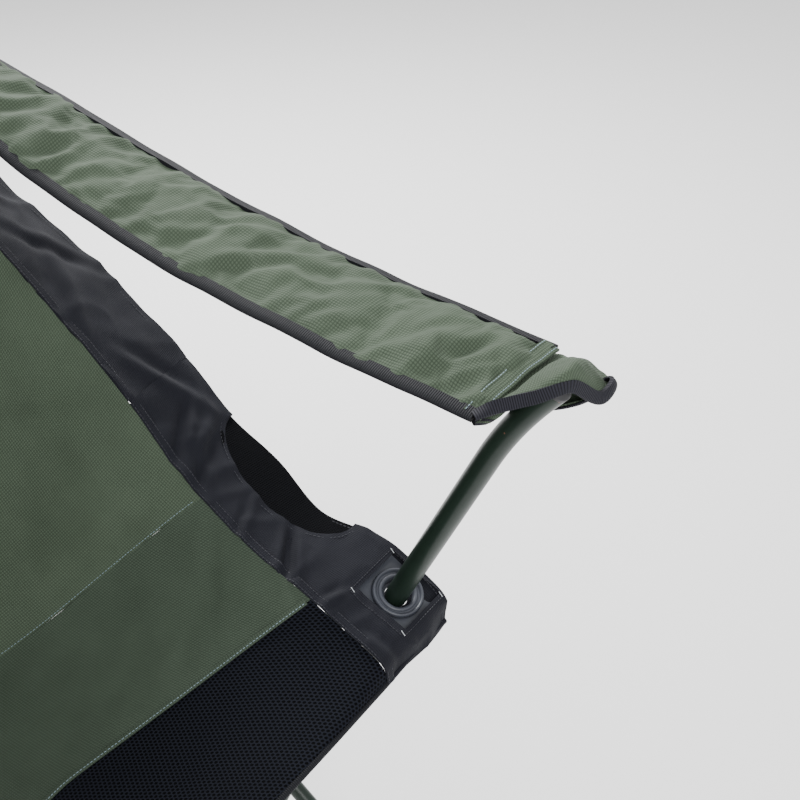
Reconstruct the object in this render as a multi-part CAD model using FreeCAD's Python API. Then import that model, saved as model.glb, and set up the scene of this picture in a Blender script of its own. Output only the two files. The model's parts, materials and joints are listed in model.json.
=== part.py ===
# Folding camp chair with a bucket sling, armrest bands and four crossed-pole faces.
# Millimetres. +Z up, the sitter looks along -Y, +X is the sitter's left.
# The origin lies on the ground in the middle of the whole chair. The sizes below count from the
# middle of the four feet, and every piece is moved back by MIDDLE_Y when it is saved.
import math
import os

import FreeCAD
import Part

V = FreeCAD.Vector
os.makedirs("parts", exist_ok=True)

# ---- driving dimensions -------------------------------------------------
CORNER = 260.0          # corner centres from the middle, in x and in y
MIDDLE_Y = 41.0         # the feet's middle lies this far behind the whole chair's middle
FOOT_PIVOT_Z = 40.0     # hinge height in the feet
HUB_PIVOT_Z = 362.0     # hinge height in the seat hubs
INSET = 30.0            # from a corner centre to its pole pivots
POLE_D = 16.0           # crossed poles
POLE_GAP = 2.0          # between the two poles of a crossed pair
POST_D = 22.0           # back posts
POST_ABOVE_HUB = 288.0  # the post is straight this far above the hub pivots, where the hub slides
POST_LEAN = 16.0        # degrees, back post above the bend
POST_BEND_R = 80.0
POST_UPPER = 290.0      # straight length above the bend
ARM_D = 19.0            # arm posts
ARM_LEAN = 24.5         # degrees, arm post at rest
ARM_STRAIGHT = 219.0    # from the arm pivot to the start of the bend
ARM_BEND_R = 350.0
ARM_BEND = 14.0         # degrees turned by the bend
PLATE = 54.0            # square corner plate under the ring
RING_D = 44.0
PLATE_TILT = 5.5        # degrees, plate and ring lean inward against the arm post
CLOTH_T = 3.0           # thickness of the cloth solids
PAD_T = 12.0            # thickness of the armrest pads

# ---- clearances and small sizes -----------------------------------------
PIN_D = 6.0
PIN_GAP = 0.05          # radial, pin in a hinge
SLIDE_GAP = 0.4         # radial, post in the sliding hub
SIDE_GAP = 0.25         # tongue between two cheeks
SOFT_GAP = 0.5          # between neighbouring cloth solids
TONGUE_T = 6.0
CHEEK_T = 4.0
CHEEK_R = 9.5
CORE = 17.0             # half width of a foot or hub block
WALL = 1.4              # tube wall
PAD_H = 6.0             # rubber ground pad
HEAD_T = 1.6
HEAD_R = 5.2
ARM_PIVOT_UP = 32.0     # arm pivot above the hub pivots
ARM_PIVOT_IN = 0.0      # arm pivot inward of the corner centre, along y
PLUG_STEM = 8.0         # stem of a tube cap
WINDOW_GAP = 3.0        # ring to the cloth window round it
RING_UP = 27.0          # ring centre above the arm pivot, along the arm post

# ---- derived ------------------------------------------------------------
POLE_SHIFT = (POLE_D + POLE_GAP) / 2   # each pole of a crossed pair stands this far off their face
POST_BEND_Z = HUB_PIVOT_Z + POST_ABOVE_HUB
SPAN = 2 * (CORNER - INSET)
RISE = HUB_PIVOT_Z - FOOT_PIVOT_Z
POLE_L = math.hypot(SPAN, RISE)
CORNERS = {"rear_left": (1, 1), "rear_right": (-1, 1),
           "front_left": (1, -1), "front_right": (-1, -1)}
HOLE_R = PIN_D / 2 + PIN_GAP
CHEEK_IN = TONGUE_T / 2 + SIDE_GAP
CHEEK_OUT = CHEEK_IN + CHEEK_T


def save(name, shape):
    moved = shape.copy()
    moved.translate(V(0, MIDDLE_Y, 0))
    moved.exportStep("parts/%s.step" % name)


def rod(a, b, r):
    return Part.makeCylinder(r, (b - a).Length, a, b - a)


def cut_all(shape, tools):
    for tool in tools:
        shape = shape.cut(tool)
    return shape


# ---- where the poles go: (face, inward sign of the shift) ----------------
# A face is named by its outward normal. shift +1 is outside, -1 inside.
FACES = {"back": (0, 1), "front": (0, -1), "left": (1, 0), "right": (-1, 0)}


def along_of(face):
    """Unit vector that runs along a face, and the face's outward normal."""
    nx, ny = FACES[face]
    return V(abs(ny), abs(nx), 0), V(nx, ny, 0)


def pivot(face, corner, shift, z):
    """Pivot of a pole in one corner block, on the pole's own plane."""
    along, out = along_of(face)
    sx, sy = CORNERS[corner]
    side = along.x * sx + along.y * sy
    p = along * (side * (CORNER - INSET)) + out * (CORNER + shift * POLE_SHIFT)
    return V(p.x, p.y, z)


# pole: (face, corner of its foot, corner of its hub, shift)
POLES = {
    "pole_back_a": ("back", "rear_left", "rear_right", 1),
    "pole_back_b": ("back", "rear_right", "rear_left", -1),
    "pole_left_a": ("left", "rear_left", "front_left", 1),
    "pole_left_b": ("left", "front_left", "rear_left", -1),
    "pole_right_a": ("right", "rear_right", "front_right", 1),
    "pole_right_b": ("right", "front_right", "rear_right", -1),
    "pole_front_a": ("front", "front_left", "front_right", 1),
    "pole_front_b": ("front", "front_right", "front_left", -1),
}


def tongue(p, direction, normal, r, reach):
    """Flattened tube end: rounded at the pivot p, reach long, across normal."""
    half = normal * (TONGUE_T / 2)
    eye = rod(p - half, p + half, r)
    box = Part.makeBox(2 * r, TONGUE_T, reach)
    box.translate(V(-r, -TONGUE_T / 2, 0))
    frame = FreeCAD.Rotation(normal.cross(direction), normal, direction, "ZYX")
    box.Placement = FreeCAD.Placement(p, frame).multiply(box.Placement)
    return eye.fuse(box)


def pole(face, foot, hub, shift):
    a = pivot(face, foot, shift, FOOT_PIVOT_Z)
    b = pivot(face, hub, shift, HUB_PIVOT_Z)
    d = (b - a).normalize()
    n = along_of(face)[1]
    r = POLE_D / 2
    reach = 2.5 * r
    tube = rod(a + d * (reach - 2), b - d * (reach - 2), r)
    tube = tube.cut(rod(a + d * (reach + 4), b - d * (reach + 4), r - WALL))
    body = tube.fuse(tongue(a, d, n, r, reach)).fuse(tongue(b, -d, n, r, reach))
    holes = [rod(p - n * POLE_D, p + n * POLE_D, HOLE_R) for p in (a, b, (a + b) * 0.5)]
    return cut_all(body, holes).removeSplitter()


for name, spec in POLES.items():
    save(name, pole(*spec))

# ---- centre rivets: one rivet and one washer between each crossed pair ----
for face in FACES:
    along, out = along_of(face)
    mid = out * CORNER + V(0, 0, (FOOT_PIVOT_Z + HUB_PIVOT_Z) / 2)
    reach = POLE_SHIFT + POLE_D / 2
    rivet = rod(mid - out * reach, mid + out * reach, PIN_D / 2)
    for s in (1, -1):
        rivet = rivet.fuse(rod(mid + out * (s * reach), mid + out * (s * (reach + HEAD_T)), HEAD_R))
    gap = POLE_SHIFT - POLE_D / 2 - 0.2
    washer = rod(mid - out * gap, mid + out * gap, POLE_D / 2 - 1)
    washer = washer.cut(rod(mid - out * 3, mid + out * 3, HOLE_R))
    save("rivet_" + face, Part.makeCompound([rivet, washer]))


# ---- feet and hubs --------------------------------------------------------
def ends_at(corner, level):
    """(face, shift) of the poles whose foot (level 1) or hub (level 2) is this corner."""
    return [(spec[0], spec[3]) for spec in POLES.values() if spec[level] == corner]


def cheeks(p, normal, inward, reach, holes, keep=CHEEK_R):
    """Two cheeks around pivot p, reaching back to the block."""
    parts = []
    for s in (1, -1):
        a, b = p + normal * (s * CHEEK_IN), p + normal * (s * CHEEK_OUT)
        eye = rod(a, b, keep)
        back = -inward * reach
        side = inward.cross(normal)
        corners = [a + side * keep, a - side * keep, a - side * keep + back, a + side * keep + back]
        web = Part.Face(Part.makePolygon(corners + corners[:1])).extrude(b - a)
        parts.append(eye.fuse(web))
    holes.append(rod(p - normal * 2 * CHEEK_OUT, p + normal * 2 * CHEEK_OUT, HOLE_R))
    return parts


def pin(p, normal):
    """Riveted pin with a head against each cheek."""
    tip = normal * CHEEK_OUT
    head = normal * (CHEEK_OUT + HEAD_T)
    shape = rod(p - tip, p + tip, PIN_D / 2)
    return shape.fuse(rod(p + tip, p + head, HEAD_R)).fuse(rod(p - head, p - tip, HEAD_R))


def block(corner, level, z_pivot, z_low, z_high):
    """Core block of a corner with a pair of cheeks for each of its two poles."""
    sx, sy = CORNERS[corner]
    centre = V(sx * CORNER, sy * CORNER, 0)
    core = Part.makeBox(2 * CORE, 2 * CORE, z_high - z_low, centre + V(-CORE, -CORE, z_low))
    upright = [e for e in core.Edges if abs(e.tangentAt(e.FirstParameter).z) > 0.9]
    core = core.makeFillet(4.0, upright)
    holes, pins = [], []
    for face, shift in ends_at(corner, level):
        along, out = along_of(face)
        p = pivot(face, corner, shift, z_pivot)
        inward = along * -(along.x * sx + along.y * sy)
        for part in cheeks(p, out, inward, INSET - CORE + 6, holes):
            core = core.fuse(part)
        pins.append(pin(p, out))
    return core, holes, pins


def arm_pivot(corner):
    sx, sy = CORNERS[corner]
    return V(sx * CORNER, sy * (CORNER - ARM_PIVOT_IN), HUB_PIVOT_Z + ARM_PIVOT_UP)


FOOT_TOP = FOOT_PIVOT_Z + 18
HUB_LOW, HUB_TOP = HUB_PIVOT_Z - 13, HUB_PIVOT_Z + 19
for corner, (sx, sy) in CORNERS.items():
    centre = V(sx * CORNER, sy * CORNER, 0)
    up = V(0, 0, 1)
    rear = sy > 0

    core, holes, pins = block(corner, 1, FOOT_PIVOT_Z, PAD_H, FOOT_TOP)
    core = core.fuse(rod(centre + up * PAD_H, centre + up * 2 * PAD_H, CORE + 6))
    if rear:
        holes.append(rod(centre + up * 2 * PAD_H, centre + up * 2 * FOOT_TOP, POST_D / 2 + PIN_GAP))
    save("foot_" + corner, cut_all(core, holes).removeSplitter())
    save("foot_pins_" + corner, Part.makeCompound(pins))
    save("ground_pad_" + corner, rod(centre, centre + up * PAD_H, CORE + 8))

    core, holes, pins = block(corner, 2, HUB_PIVOT_Z, HUB_LOW, HUB_TOP)
    if rear:
        holes.append(rod(centre, centre + up * 2 * HUB_TOP, POST_D / 2 + SLIDE_GAP))
    else:
        p = arm_pivot(corner)
        for part in cheeks(p, V(1, 0, 0), up, ARM_PIVOT_UP - 17, holes, ARM_D / 2):
            core = core.fuse(part)
        pins.append(pin(p, V(1, 0, 0)))
    save("hub_" + corner, cut_all(core, holes).removeSplitter())
    save("hub_pins_" + corner, Part.makeCompound(pins))


# ---- bent tubes -----------------------------------------------------------
def bent_path(start, up_dir, turn_dir, first, radius, degrees, last):
    """Straight, arc, straight. Returns the wire, its end point and end direction."""
    a = math.radians(degrees)
    p1 = start + up_dir * first
    mid = p1 + up_dir * (radius * math.sin(a / 2)) + turn_dir * (radius * (1 - math.cos(a / 2)))
    p2 = p1 + up_dir * (radius * math.sin(a)) + turn_dir * (radius * (1 - math.cos(a)))
    end_dir = up_dir * math.cos(a) + turn_dir * math.sin(a)
    p3 = p2 + end_dir * last
    edges = [Part.makeLine(start, p1), Part.Arc(p1, mid, p2).toShape(), Part.makeLine(p2, p3)]
    return Part.Wire(edges), p3, end_dir


def swept(wire, start, direction, r):
    ring = Part.Wire(Part.makeCircle(r, start, direction))
    return wire.makePipeShell([ring], True, True)


def post(sx):
    start = V(sx * CORNER, CORNER, 2 * PAD_H)
    first = POST_BEND_Z - start.z
    wire, end, d = bent_path(start, V(0, 0, 1), V(0, 1, 0), first, POST_BEND_R, POST_LEAN, POST_UPPER)
    outer = swept(wire, start, V(0, 0, 1), POST_D / 2)
    return outer.cut(swept(wire, start, V(0, 0, 1), POST_D / 2 - WALL)), end, d


def plug(end, d, tube_d):
    """Domed tube cap with a stem inside the tube, turned about the tube's axis."""
    r, stem_r, rim, dome = tube_d / 2, tube_d / 2 - WALL - 0.1, 3.0, tube_d * 0.2
    slope = [V(0, 0, -PLUG_STEM), V(stem_r, 0, -PLUG_STEM), V(stem_r, 0, 0), V(r, 0, 0), V(r, 0, rim)]
    edges = [Part.makeLine(p, q) for p, q in zip(slope, slope[1:])]
    top = V(0, 0, rim + dome)
    ball = (r * r + dome * dome) / (2 * dome)
    half = math.asin(r / ball) / 2
    half_way = top + V(ball * math.sin(half), 0, ball * (math.cos(half) - 1))
    edges.append(Part.Arc(slope[-1], half_way, top).toShape())
    edges.append(Part.makeLine(top, slope[0]))
    cap = Part.Face(Part.Wire(edges)).revolve(V(0, 0, 0), V(0, 0, 1), 360)
    cap.Placement = FreeCAD.Placement(end, FreeCAD.Rotation(V(0, 0, 1), d))
    return cap


a = math.radians(ARM_LEAN)
ARM_UP = V(0, -math.sin(a), math.cos(a))
ARM_TURN = V(0, -math.cos(a), -math.sin(a))


def arm_post(corner):
    p = arm_pivot(corner)
    r = ARM_D / 2
    start = p + ARM_UP * (1.6 * r)
    first = ARM_STRAIGHT - 1.6 * r
    wire, end, d = bent_path(start, ARM_UP, ARM_TURN, first, ARM_BEND_R, ARM_BEND, PLUG_STEM + 1)
    outer = swept(wire, start, ARM_UP, r)
    tube = outer.cut(swept(wire, start, ARM_UP, r - WALL))
    root = rod(start, start + ARM_UP * 5, r)
    body = tube.fuse(root).fuse(tongue(p, ARM_UP, V(1, 0, 0), r, 1.6 * r + 3))
    return body.cut(rod(p - V(20, 0, 0), p + V(20, 0, 0), HOLE_R)).removeSplitter(), end, d


for side, sx in (("left", 1), ("right", -1)):
    body, end, d = post(sx)
    save("back_post_" + side, body)
    save("back_cap_" + side, plug(end, d, POST_D))
    POST_END, POST_DIR = end, d
    body, end, d = arm_post("front_" + side)
    save("arm_post_" + side, body)
    save("arm_cap_" + side, plug(end, d, ARM_D))
    ARM_END = end

# ---- corner plates and rings, nearly square to the arm post ------------------
def corner_frame(side):
    """Placement of a corner plate: its top face is z = 0, the arm post runs through it."""
    p = arm_pivot("front_" + side) + ARM_UP * RING_UP
    lean = -math.tan(math.radians(PLATE_TILT)) * CORNERS["front_" + side][0]
    return FreeCAD.Placement(p, FreeCAD.Rotation(V(0, 0, 1), ARM_UP + V(lean, 0, 0)))


for side in ("left", "right"):
    frame = corner_frame(side)
    plate = Part.makeBox(PLATE, PLATE, 2.5, V(-PLATE / 2, -PLATE / 2, -2.5))
    plate = plate.makeFillet(5.0, [e for e in plate.Edges if abs(e.tangentAt(0).z) > 0.9])
    plate = plate.cut(Part.makeCylinder(RING_D / 2 - 5, 10, V(0, 0, -5)))
    rim_r = RING_D / 2 - 2
    ring = Part.makeCylinder(RING_D / 2, 3.0).fuse(Part.makeTorus(rim_r, 2.0, V(0, 0, 3.0)))
    ring = ring.fuse(Part.makeCylinder(RING_D / 2 - 5.1, 8.0, V(0, 0, -5)))
    ring = ring.fuse(Part.makeTorus(RING_D / 2 - 6.2, 1.6, V(0, 0, 3.6)))
    ring = ring.cut(Part.makeCylinder(ARM_D / 2 + 3.2, 30, V(0, 0, -15)))
    for name, shape in (("corner_plate_", plate), ("corner_ring_", ring.removeSplitter())):
        shape.Placement = frame
        save(name + side, shape)


# ---- cloth -------------------------------------------------------------------
def surface(rows):
    patch = Part.BSplineSurface()
    patch.interpolate(rows)
    return patch


def sheet(rows, t):
    """Closed solid: the grid of points rows, thickened downwards by t."""
    n, m = len(rows), len(rows[0])
    low = []
    for i in range(n):
        line = []
        for j in range(m):
            du = rows[min(i + 1, n - 1)][j] - rows[max(i - 1, 0)][j]
            dv = rows[i][min(j + 1, m - 1)] - rows[i][max(j - 1, 0)]
            line.append(rows[i][j] - du.cross(dv).normalize() * t)
        low.append(line)
    top, bottom = surface(rows), surface(low)
    faces = [top.toShape(), bottom.toShape()]
    u0, u1, v0, v1 = top.bounds()
    for curve in ("uIso", "vIso"):
        for value in ((u0, u1) if curve == "uIso" else (v0, v1)):
            ends = [getattr(s, curve)(value).toShape() for s in (top, bottom)]
            faces.append(Part.makeRuledSurface(ends[0], ends[1], 1))
    shell = Part.makeShell(faces)
    shell.sewShape()
    solid = Part.makeSolid(shell)
    if solid.Volume < 0:
        solid.reverse()
    return solid


# Sling stations from the front hem to the top of the back:
# (y, z) in the middle, (x, y, z) at the band's inner seam, (x, y, z) at the outer edge.
CLOTH_CORNER, CLOTH_HUB_Z = 260.0, 362.0     # corner distance and hub height of the cloth tables
SLING = [
    ((-306, 380), (200, -306, 385), (282, -305, 387)),
    ((-297, 379), (200, -299, 405), (287, -298, 414)),
    ((-257, 372), (200, -262, 422), (290, -262, 431)),
    ((-217, 364), (200, -224, 438), (285, -224, 445)),
    ((-167, 357), (200, -178, 454), (274, -182, 456)),
    ((-112, 350), (200, -132, 477), (280, -134, 482)),
    ((-57, 346), (200, -88, 509), (276, -85, 511)),
    ((-2, 352), (200, -47, 550), (279, -34, 548)),
    ((60, 385), (200, 5, 592), (279, 28, 588)),
    ((123, 445), (200, 65, 634), (276, 98, 628)),
    ((183, 530), (201, 134, 678), (270, 174, 664)),
    ((232, 625), (203, 204, 722), (257, 235, 702)),
    ((268, 720), (206, 262, 780), (247, 286, 770)),
    ((298, 805), (208, 296, 848), (247, 307, 842)),
    ((321, 880), (210, 320, 908), (247, 325, 906)),
    ((339, 945), (212, 335, 955), (247, 339, 955)),
]
MESH_STATION = 4        # the front mesh panel ends here
CREASE_STATION = 7      # the seat ends and the lower back begins
BACK_STATION = 11       # the lower back ends and the backrest begins


def follow(v):
    """A plan coordinate of the cloth tables, moved with the corners."""
    return v + (CORNER - CLOTH_CORNER) * max(-1.0, min(1.0, v / CLOTH_CORNER))


def lift(z):
    """A height of the cloth tables, moved with the hubs."""
    return z + HUB_PIVOT_Z - CLOTH_HUB_Z


def station(i, v):
    """Point of station i; v = 0 middle, 1 seam of the band, 2 outer edge, odd in x."""
    sign = -1 if v < 0 else 1
    v = abs(v)
    (cy, cz), seam, edge = SLING[i]
    cy, cz = follow(cy), lift(cz)
    seam, edge = [(follow(x), follow(y), lift(z)) for x, y, z in (seam, edge)]
    if v <= 1:
        k = v ** 2.1
        return V(sign * v * seam[0], cy + (seam[1] - cy) * k, cz + (seam[2] - cz) * k)
    k = v - 1
    p = V(*seam) * (1 - k) + V(*edge) * k
    return V(sign * p.x, p.y, p.z + 6 * k * (1 - k))


def between(i, v):
    """Point at a whole or fractional station."""
    low = min(int(i), len(SLING) - 2)
    k = i - low
    return station(low, v) * (1 - k) + station(low + 1, v) * k


def strip(first, last, v0, v1, across, drop=0.0):
    """Cloth solid over stations first..last and widths v0..v1."""
    marks = [first] + [float(s) for s in range(int(first) + 1, math.ceil(last))] + [last]
    marks = [m for k, m in enumerate(marks) if k == 0 or m - marks[k - 1] > 0.2]
    vs = [v0 + (v1 - v0) * j / across for j in range(across + 1)]
    rows = [[between(s, v) - V(0, 0, drop) for v in vs] for s in marks]
    return sheet([list(col) for col in zip(*rows)], CLOTH_T)


INSERT_X, INSERT_Y = follow(270.0), follow(-148.0)      # middle of the insert's straight side
INSERT_LONG, INSERT_DEEP = 60.0, 36.0   # half length and depth
EDGE = 0.02             # of a station: keeps cloth apart along the chair
MID = 1 - 0.015         # of a width: keeps cloth apart at the band's seam
BAND = 1 + 0.04
save("seat_front_mesh", strip(0, MESH_STATION - EDGE, -MID, MID, 10))
save("seat_panel", strip(MESH_STATION + EDGE, CREASE_STATION - EDGE, -MID, MID, 10))
save("sling_panel", strip(CREASE_STATION + EDGE, BACK_STATION - EDGE, -MID, MID, 10))
save("back_panel", strip(BACK_STATION + EDGE, len(SLING) - 1, -MID, MID, 10))

SIDE_BANDS = {}
for side, s in (("left", 1), ("right", -1)):
    def band(first, last):
        ends = (BAND, 2.0) if s > 0 else (-2.0, -BAND)
        return strip(first, last, ends[0], ends[1], 4)

    # the corner of the band has a square window over the plate, round the ring
    half = RING_D / 2 + WINDOW_GAP
    window = Part.makeBox(2 * half, 2 * half, PLATE, V(-half, -half, -PLATE / 2))
    window.Placement = corner_frame(side)
    cloth = band(0, CREASE_STATION - EDGE)
    SIDE_BANDS[side] = max(cloth.cut(window).Solids, key=lambda part: part.Volume)
    save("sling_band_" + side, band(CREASE_STATION + EDGE, BACK_STATION - EDGE))

    # sleeve over the leaning part of the back post, with a blind top
    axis_end = V(s * CORNER, POST_END.y, POST_END.z)
    low = axis_end - POST_DIR * 235
    sleeve = rod(low, axis_end + POST_DIR * 16, POST_D / 2 + 4)
    bore = rod(low - POST_DIR, axis_end + POST_DIR * 12.5, POST_D / 2 + 1)
    flap = band(BACK_STATION + EDGE, len(SLING) - 1)
    save("back_sleeve_" + side, sleeve.fuse(flap).cut(bore))

# half-round mesh insert at each wing's outer edge, let into the band


def half_round(s, grow):
    """Upright prism with a straight outer side, larger than the insert by grow."""
    centre = V(s * INSERT_X, INSERT_Y, 0)
    arc = Part.Ellipse(centre, INSERT_LONG + grow, INSERT_DEEP + grow)
    wire = Part.Wire([arc.toShape()])
    wire.rotate(centre, V(0, 0, 1), 90)
    prism = Part.Face(wire).extrude(V(0, 0, 2 * HUB_TOP))
    keep = Part.makeBox(4 * INSERT_DEEP, 4 * INSERT_LONG, 2 * HUB_TOP)
    keep.translate(V(s * (INSERT_X + grow) - 2 * INSERT_DEEP * (1 + s), INSERT_Y - 2 * INSERT_LONG, 0))
    return prism.common(keep)


inserts = []
for side, s in (("left", 1), ("right", -1)):
    inserts.append(SIDE_BANDS[side].common(half_round(s, 0)))
    save("side_band_" + side, SIDE_BANDS[side].cut(half_round(s, SOFT_GAP)))
save("mesh_inserts", Part.makeCompound(inserts))

# ---- armrests: a padded band to the back post and a hood over the tube tip -----
# stations (y, z, half width, centre x)
ARM_BAND = [(-364, 668, 55, 268), (-302, 671, 55, 268), (-222, 676, 55, 268),
            (-122, 687, 55, 268), (-32, 702, 54, 268), (50, 722, 51, 267),
            (123, 745, 46, 265), (196.5, 768, 38, 262), (262, 788, 30, 260)]
HOOD = [(-365.5, 670, 55, 268), (-384, 682, 53, 269), (-404, 693, 49, 270), (-424, 696, 43, 271),
        (-439, 685, 36, 273), (-442, 665, 30, 274), (-433, 652, 27, 275), (-418, 647, 26, 275)]


def cross_rows(table, s, crown):
    """Points over each station, slightly crowned across the width."""
    rows = []
    for y, z, half, cx in table:
        rows.append([V(s * follow(cx) + half * t, follow(y), lift(z) - crown * t * t)
                     for t in (-1, -0.6, -0.2, 0.2, 0.6, 1)])
    return rows


for side, s in (("left", 1), ("right", -1)):
    rows = cross_rows(ARM_BAND, s, 7.0)
    save("arm_pad_" + side, sheet([list(col) for col in zip(*rows)], PAD_T))
    rows = cross_rows(HOOD, s, 7.0)[::-1]
    save("arm_hood_" + side, sheet([list(col) for col in zip(*rows)], CLOTH_T))
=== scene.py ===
# %% [markdown]
# # A folding camp chair
# The chair is a ring of crossed poles that folds like an umbrella, with a cloth bucket hung
# between two bent arm posts and two back posts. The frame's sizes come from the CAD model.
# This script gives every piece its final shape and finish, and lights it for a picture.

# %% The CAD model
import json
import math

import bpy
import numpy as np
from mathutils import Matrix, Vector, noise

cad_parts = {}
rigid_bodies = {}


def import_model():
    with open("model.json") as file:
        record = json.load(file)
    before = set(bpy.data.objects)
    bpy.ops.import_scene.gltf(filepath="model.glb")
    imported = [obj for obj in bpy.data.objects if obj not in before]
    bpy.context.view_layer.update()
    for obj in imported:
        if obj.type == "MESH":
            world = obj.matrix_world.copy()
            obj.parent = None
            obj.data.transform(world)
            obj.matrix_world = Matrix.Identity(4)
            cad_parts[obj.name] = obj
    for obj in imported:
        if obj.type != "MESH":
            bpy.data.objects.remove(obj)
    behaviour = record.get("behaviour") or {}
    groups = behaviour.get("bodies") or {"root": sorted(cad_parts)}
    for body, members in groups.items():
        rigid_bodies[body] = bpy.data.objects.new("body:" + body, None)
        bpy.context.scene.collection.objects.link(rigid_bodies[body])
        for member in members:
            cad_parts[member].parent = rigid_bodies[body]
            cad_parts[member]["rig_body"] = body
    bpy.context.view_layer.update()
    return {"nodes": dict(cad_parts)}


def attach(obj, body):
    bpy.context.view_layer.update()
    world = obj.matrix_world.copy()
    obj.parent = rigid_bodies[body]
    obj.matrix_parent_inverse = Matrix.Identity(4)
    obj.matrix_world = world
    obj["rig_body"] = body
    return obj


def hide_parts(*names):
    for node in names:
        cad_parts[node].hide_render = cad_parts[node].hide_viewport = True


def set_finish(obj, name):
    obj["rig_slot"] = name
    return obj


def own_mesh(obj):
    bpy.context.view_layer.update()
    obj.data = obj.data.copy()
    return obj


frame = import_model()

# %% [markdown]
# ## Small helpers
# Sizes are written in millimetres, as a maker reads them, and turned to metres in one place.
# Everything is deselected before an operator runs, because an operator acts on all that is selected.

# %% Millimetres, selection and finished pieces
MM = 0.001
MIDDLE_Y = 41.0    # the feet's middle lies this far behind the whole chair's middle


def at(x, y, z):
    """A point given in millimetres from the feet's middle, in the row frame in metres."""
    return Vector((x, y + MIDDLE_Y, z)) * MM


def only(piece):
    """Deselects everything, then selects this piece and makes it active."""
    if bpy.context.mode != "OBJECT":
        bpy.ops.object.mode_set(mode="OBJECT")
    bpy.ops.object.select_all(action="DESELECT")
    piece.select_set(True)
    bpy.context.view_layer.objects.active = piece


def build(name, verts, faces):
    """A new mesh piece in the scene, from points in metres and faces."""
    mesh = bpy.data.meshes.new(name)
    mesh.from_pydata([tuple(v) for v in verts], [], faces)
    piece = bpy.data.objects.new(name, mesh)
    bpy.context.scene.collection.objects.link(piece)
    return piece


def turned_to(place, direction):
    """Placement at a point with +Z along a direction."""
    turn = Vector((0, 0, 1)).rotation_difference(direction).to_matrix().to_4x4()
    return Matrix.Translation(place) @ turn


def edit_all(piece):
    """Opens a piece in edit mode with everything selected."""
    only(piece)
    bpy.ops.object.mode_set(mode="EDIT")
    bpy.ops.mesh.select_all(action="SELECT")


def settle(piece, place=None):
    """Puts the piece's place into its mesh, so that its object sits at the origin."""
    if place is not None:
        piece.matrix_world = place
    only(piece)
    bpy.ops.object.transform_apply(location=True, rotation=True, scale=True)


def modify(piece, kind, **settings):
    """Adds one modifier and applies it."""
    only(piece)
    added = piece.modifiers.new(kind.title(), kind)
    for key, value in settings.items():
        setattr(added, key, value)
    bpy.ops.object.modifier_apply(modifier=added.name)


def smooth(piece, degrees=40):
    only(piece)
    bpy.ops.object.shade_smooth_by_angle(angle=math.radians(degrees))


def outward(piece, gap=0.00002):
    """Merges doubles, then turns all faces outwards."""
    edit_all(piece)
    bpy.ops.mesh.remove_doubles(threshold=gap)
    bpy.ops.mesh.normals_make_consistent(inside=False)
    bpy.ops.object.mode_set(mode="OBJECT")


def dress(piece, material, slot, body, *stands_for):
    """Gives a piece its material, its record slot, its body and the CAD nodes it stands for."""
    piece.data.materials.clear()
    piece.data.materials.append(material)
    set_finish(piece, slot)
    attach(piece, body)
    if stands_for:
        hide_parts(*stands_for)
    return piece


# %% [markdown]
# ## Colours and nodes
# Colours are written as hex values as a paint chart gives them, and one function turns them to
# linear light. One small function adds a node, sets it and links it.

# %% Colour and node helpers
def hexcol(code):
    """An sRGB hex colour as linear RGBA."""
    parts = [int(code[i:i + 2], 16) / 255 for i in (1, 3, 5)]
    return [c / 12.92 if c <= 0.04045 else ((c + 0.055) / 1.055) ** 2.4 for c in parts] + [1.0]


def add(tree, kind, inputs=None, **settings):
    """Adds a node. inputs maps a socket's name or number to a value or to another node's output."""
    made = tree.nodes.new(kind)
    for key, value in settings.items():
        setattr(made, key, value)
    for key, value in (inputs or {}).items():
        if isinstance(value, bpy.types.NodeSocket):
            tree.links.new(value, made.inputs[key])
        else:
            made.inputs[key].default_value = value
    return made


def new_material(name, **shader):
    """A material with one Principled shader; returns it, its tree and the shader."""
    material = bpy.data.materials.new(name)
    material.use_nodes = True
    tree = material.node_tree
    principled = tree.nodes["Principled BSDF"]
    for key, value in shader.items():
        principled.inputs[key.replace("_", " ")].default_value = value
    return material, tree, principled


# %% [markdown]
# ## Woven polyester
# The green and the charcoal cloth are coated polyester with a small raised check, a dobby weave.
# The check could be an image, but two sine waves across the cloth's own UV map, which is laid out
# in metres, give it at its real pitch on every curve. A slow noise adds the uneven dye and soiling
# that any outdoor cloth has, and a trace of sheen gives the soft light edge of spun thread.

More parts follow.
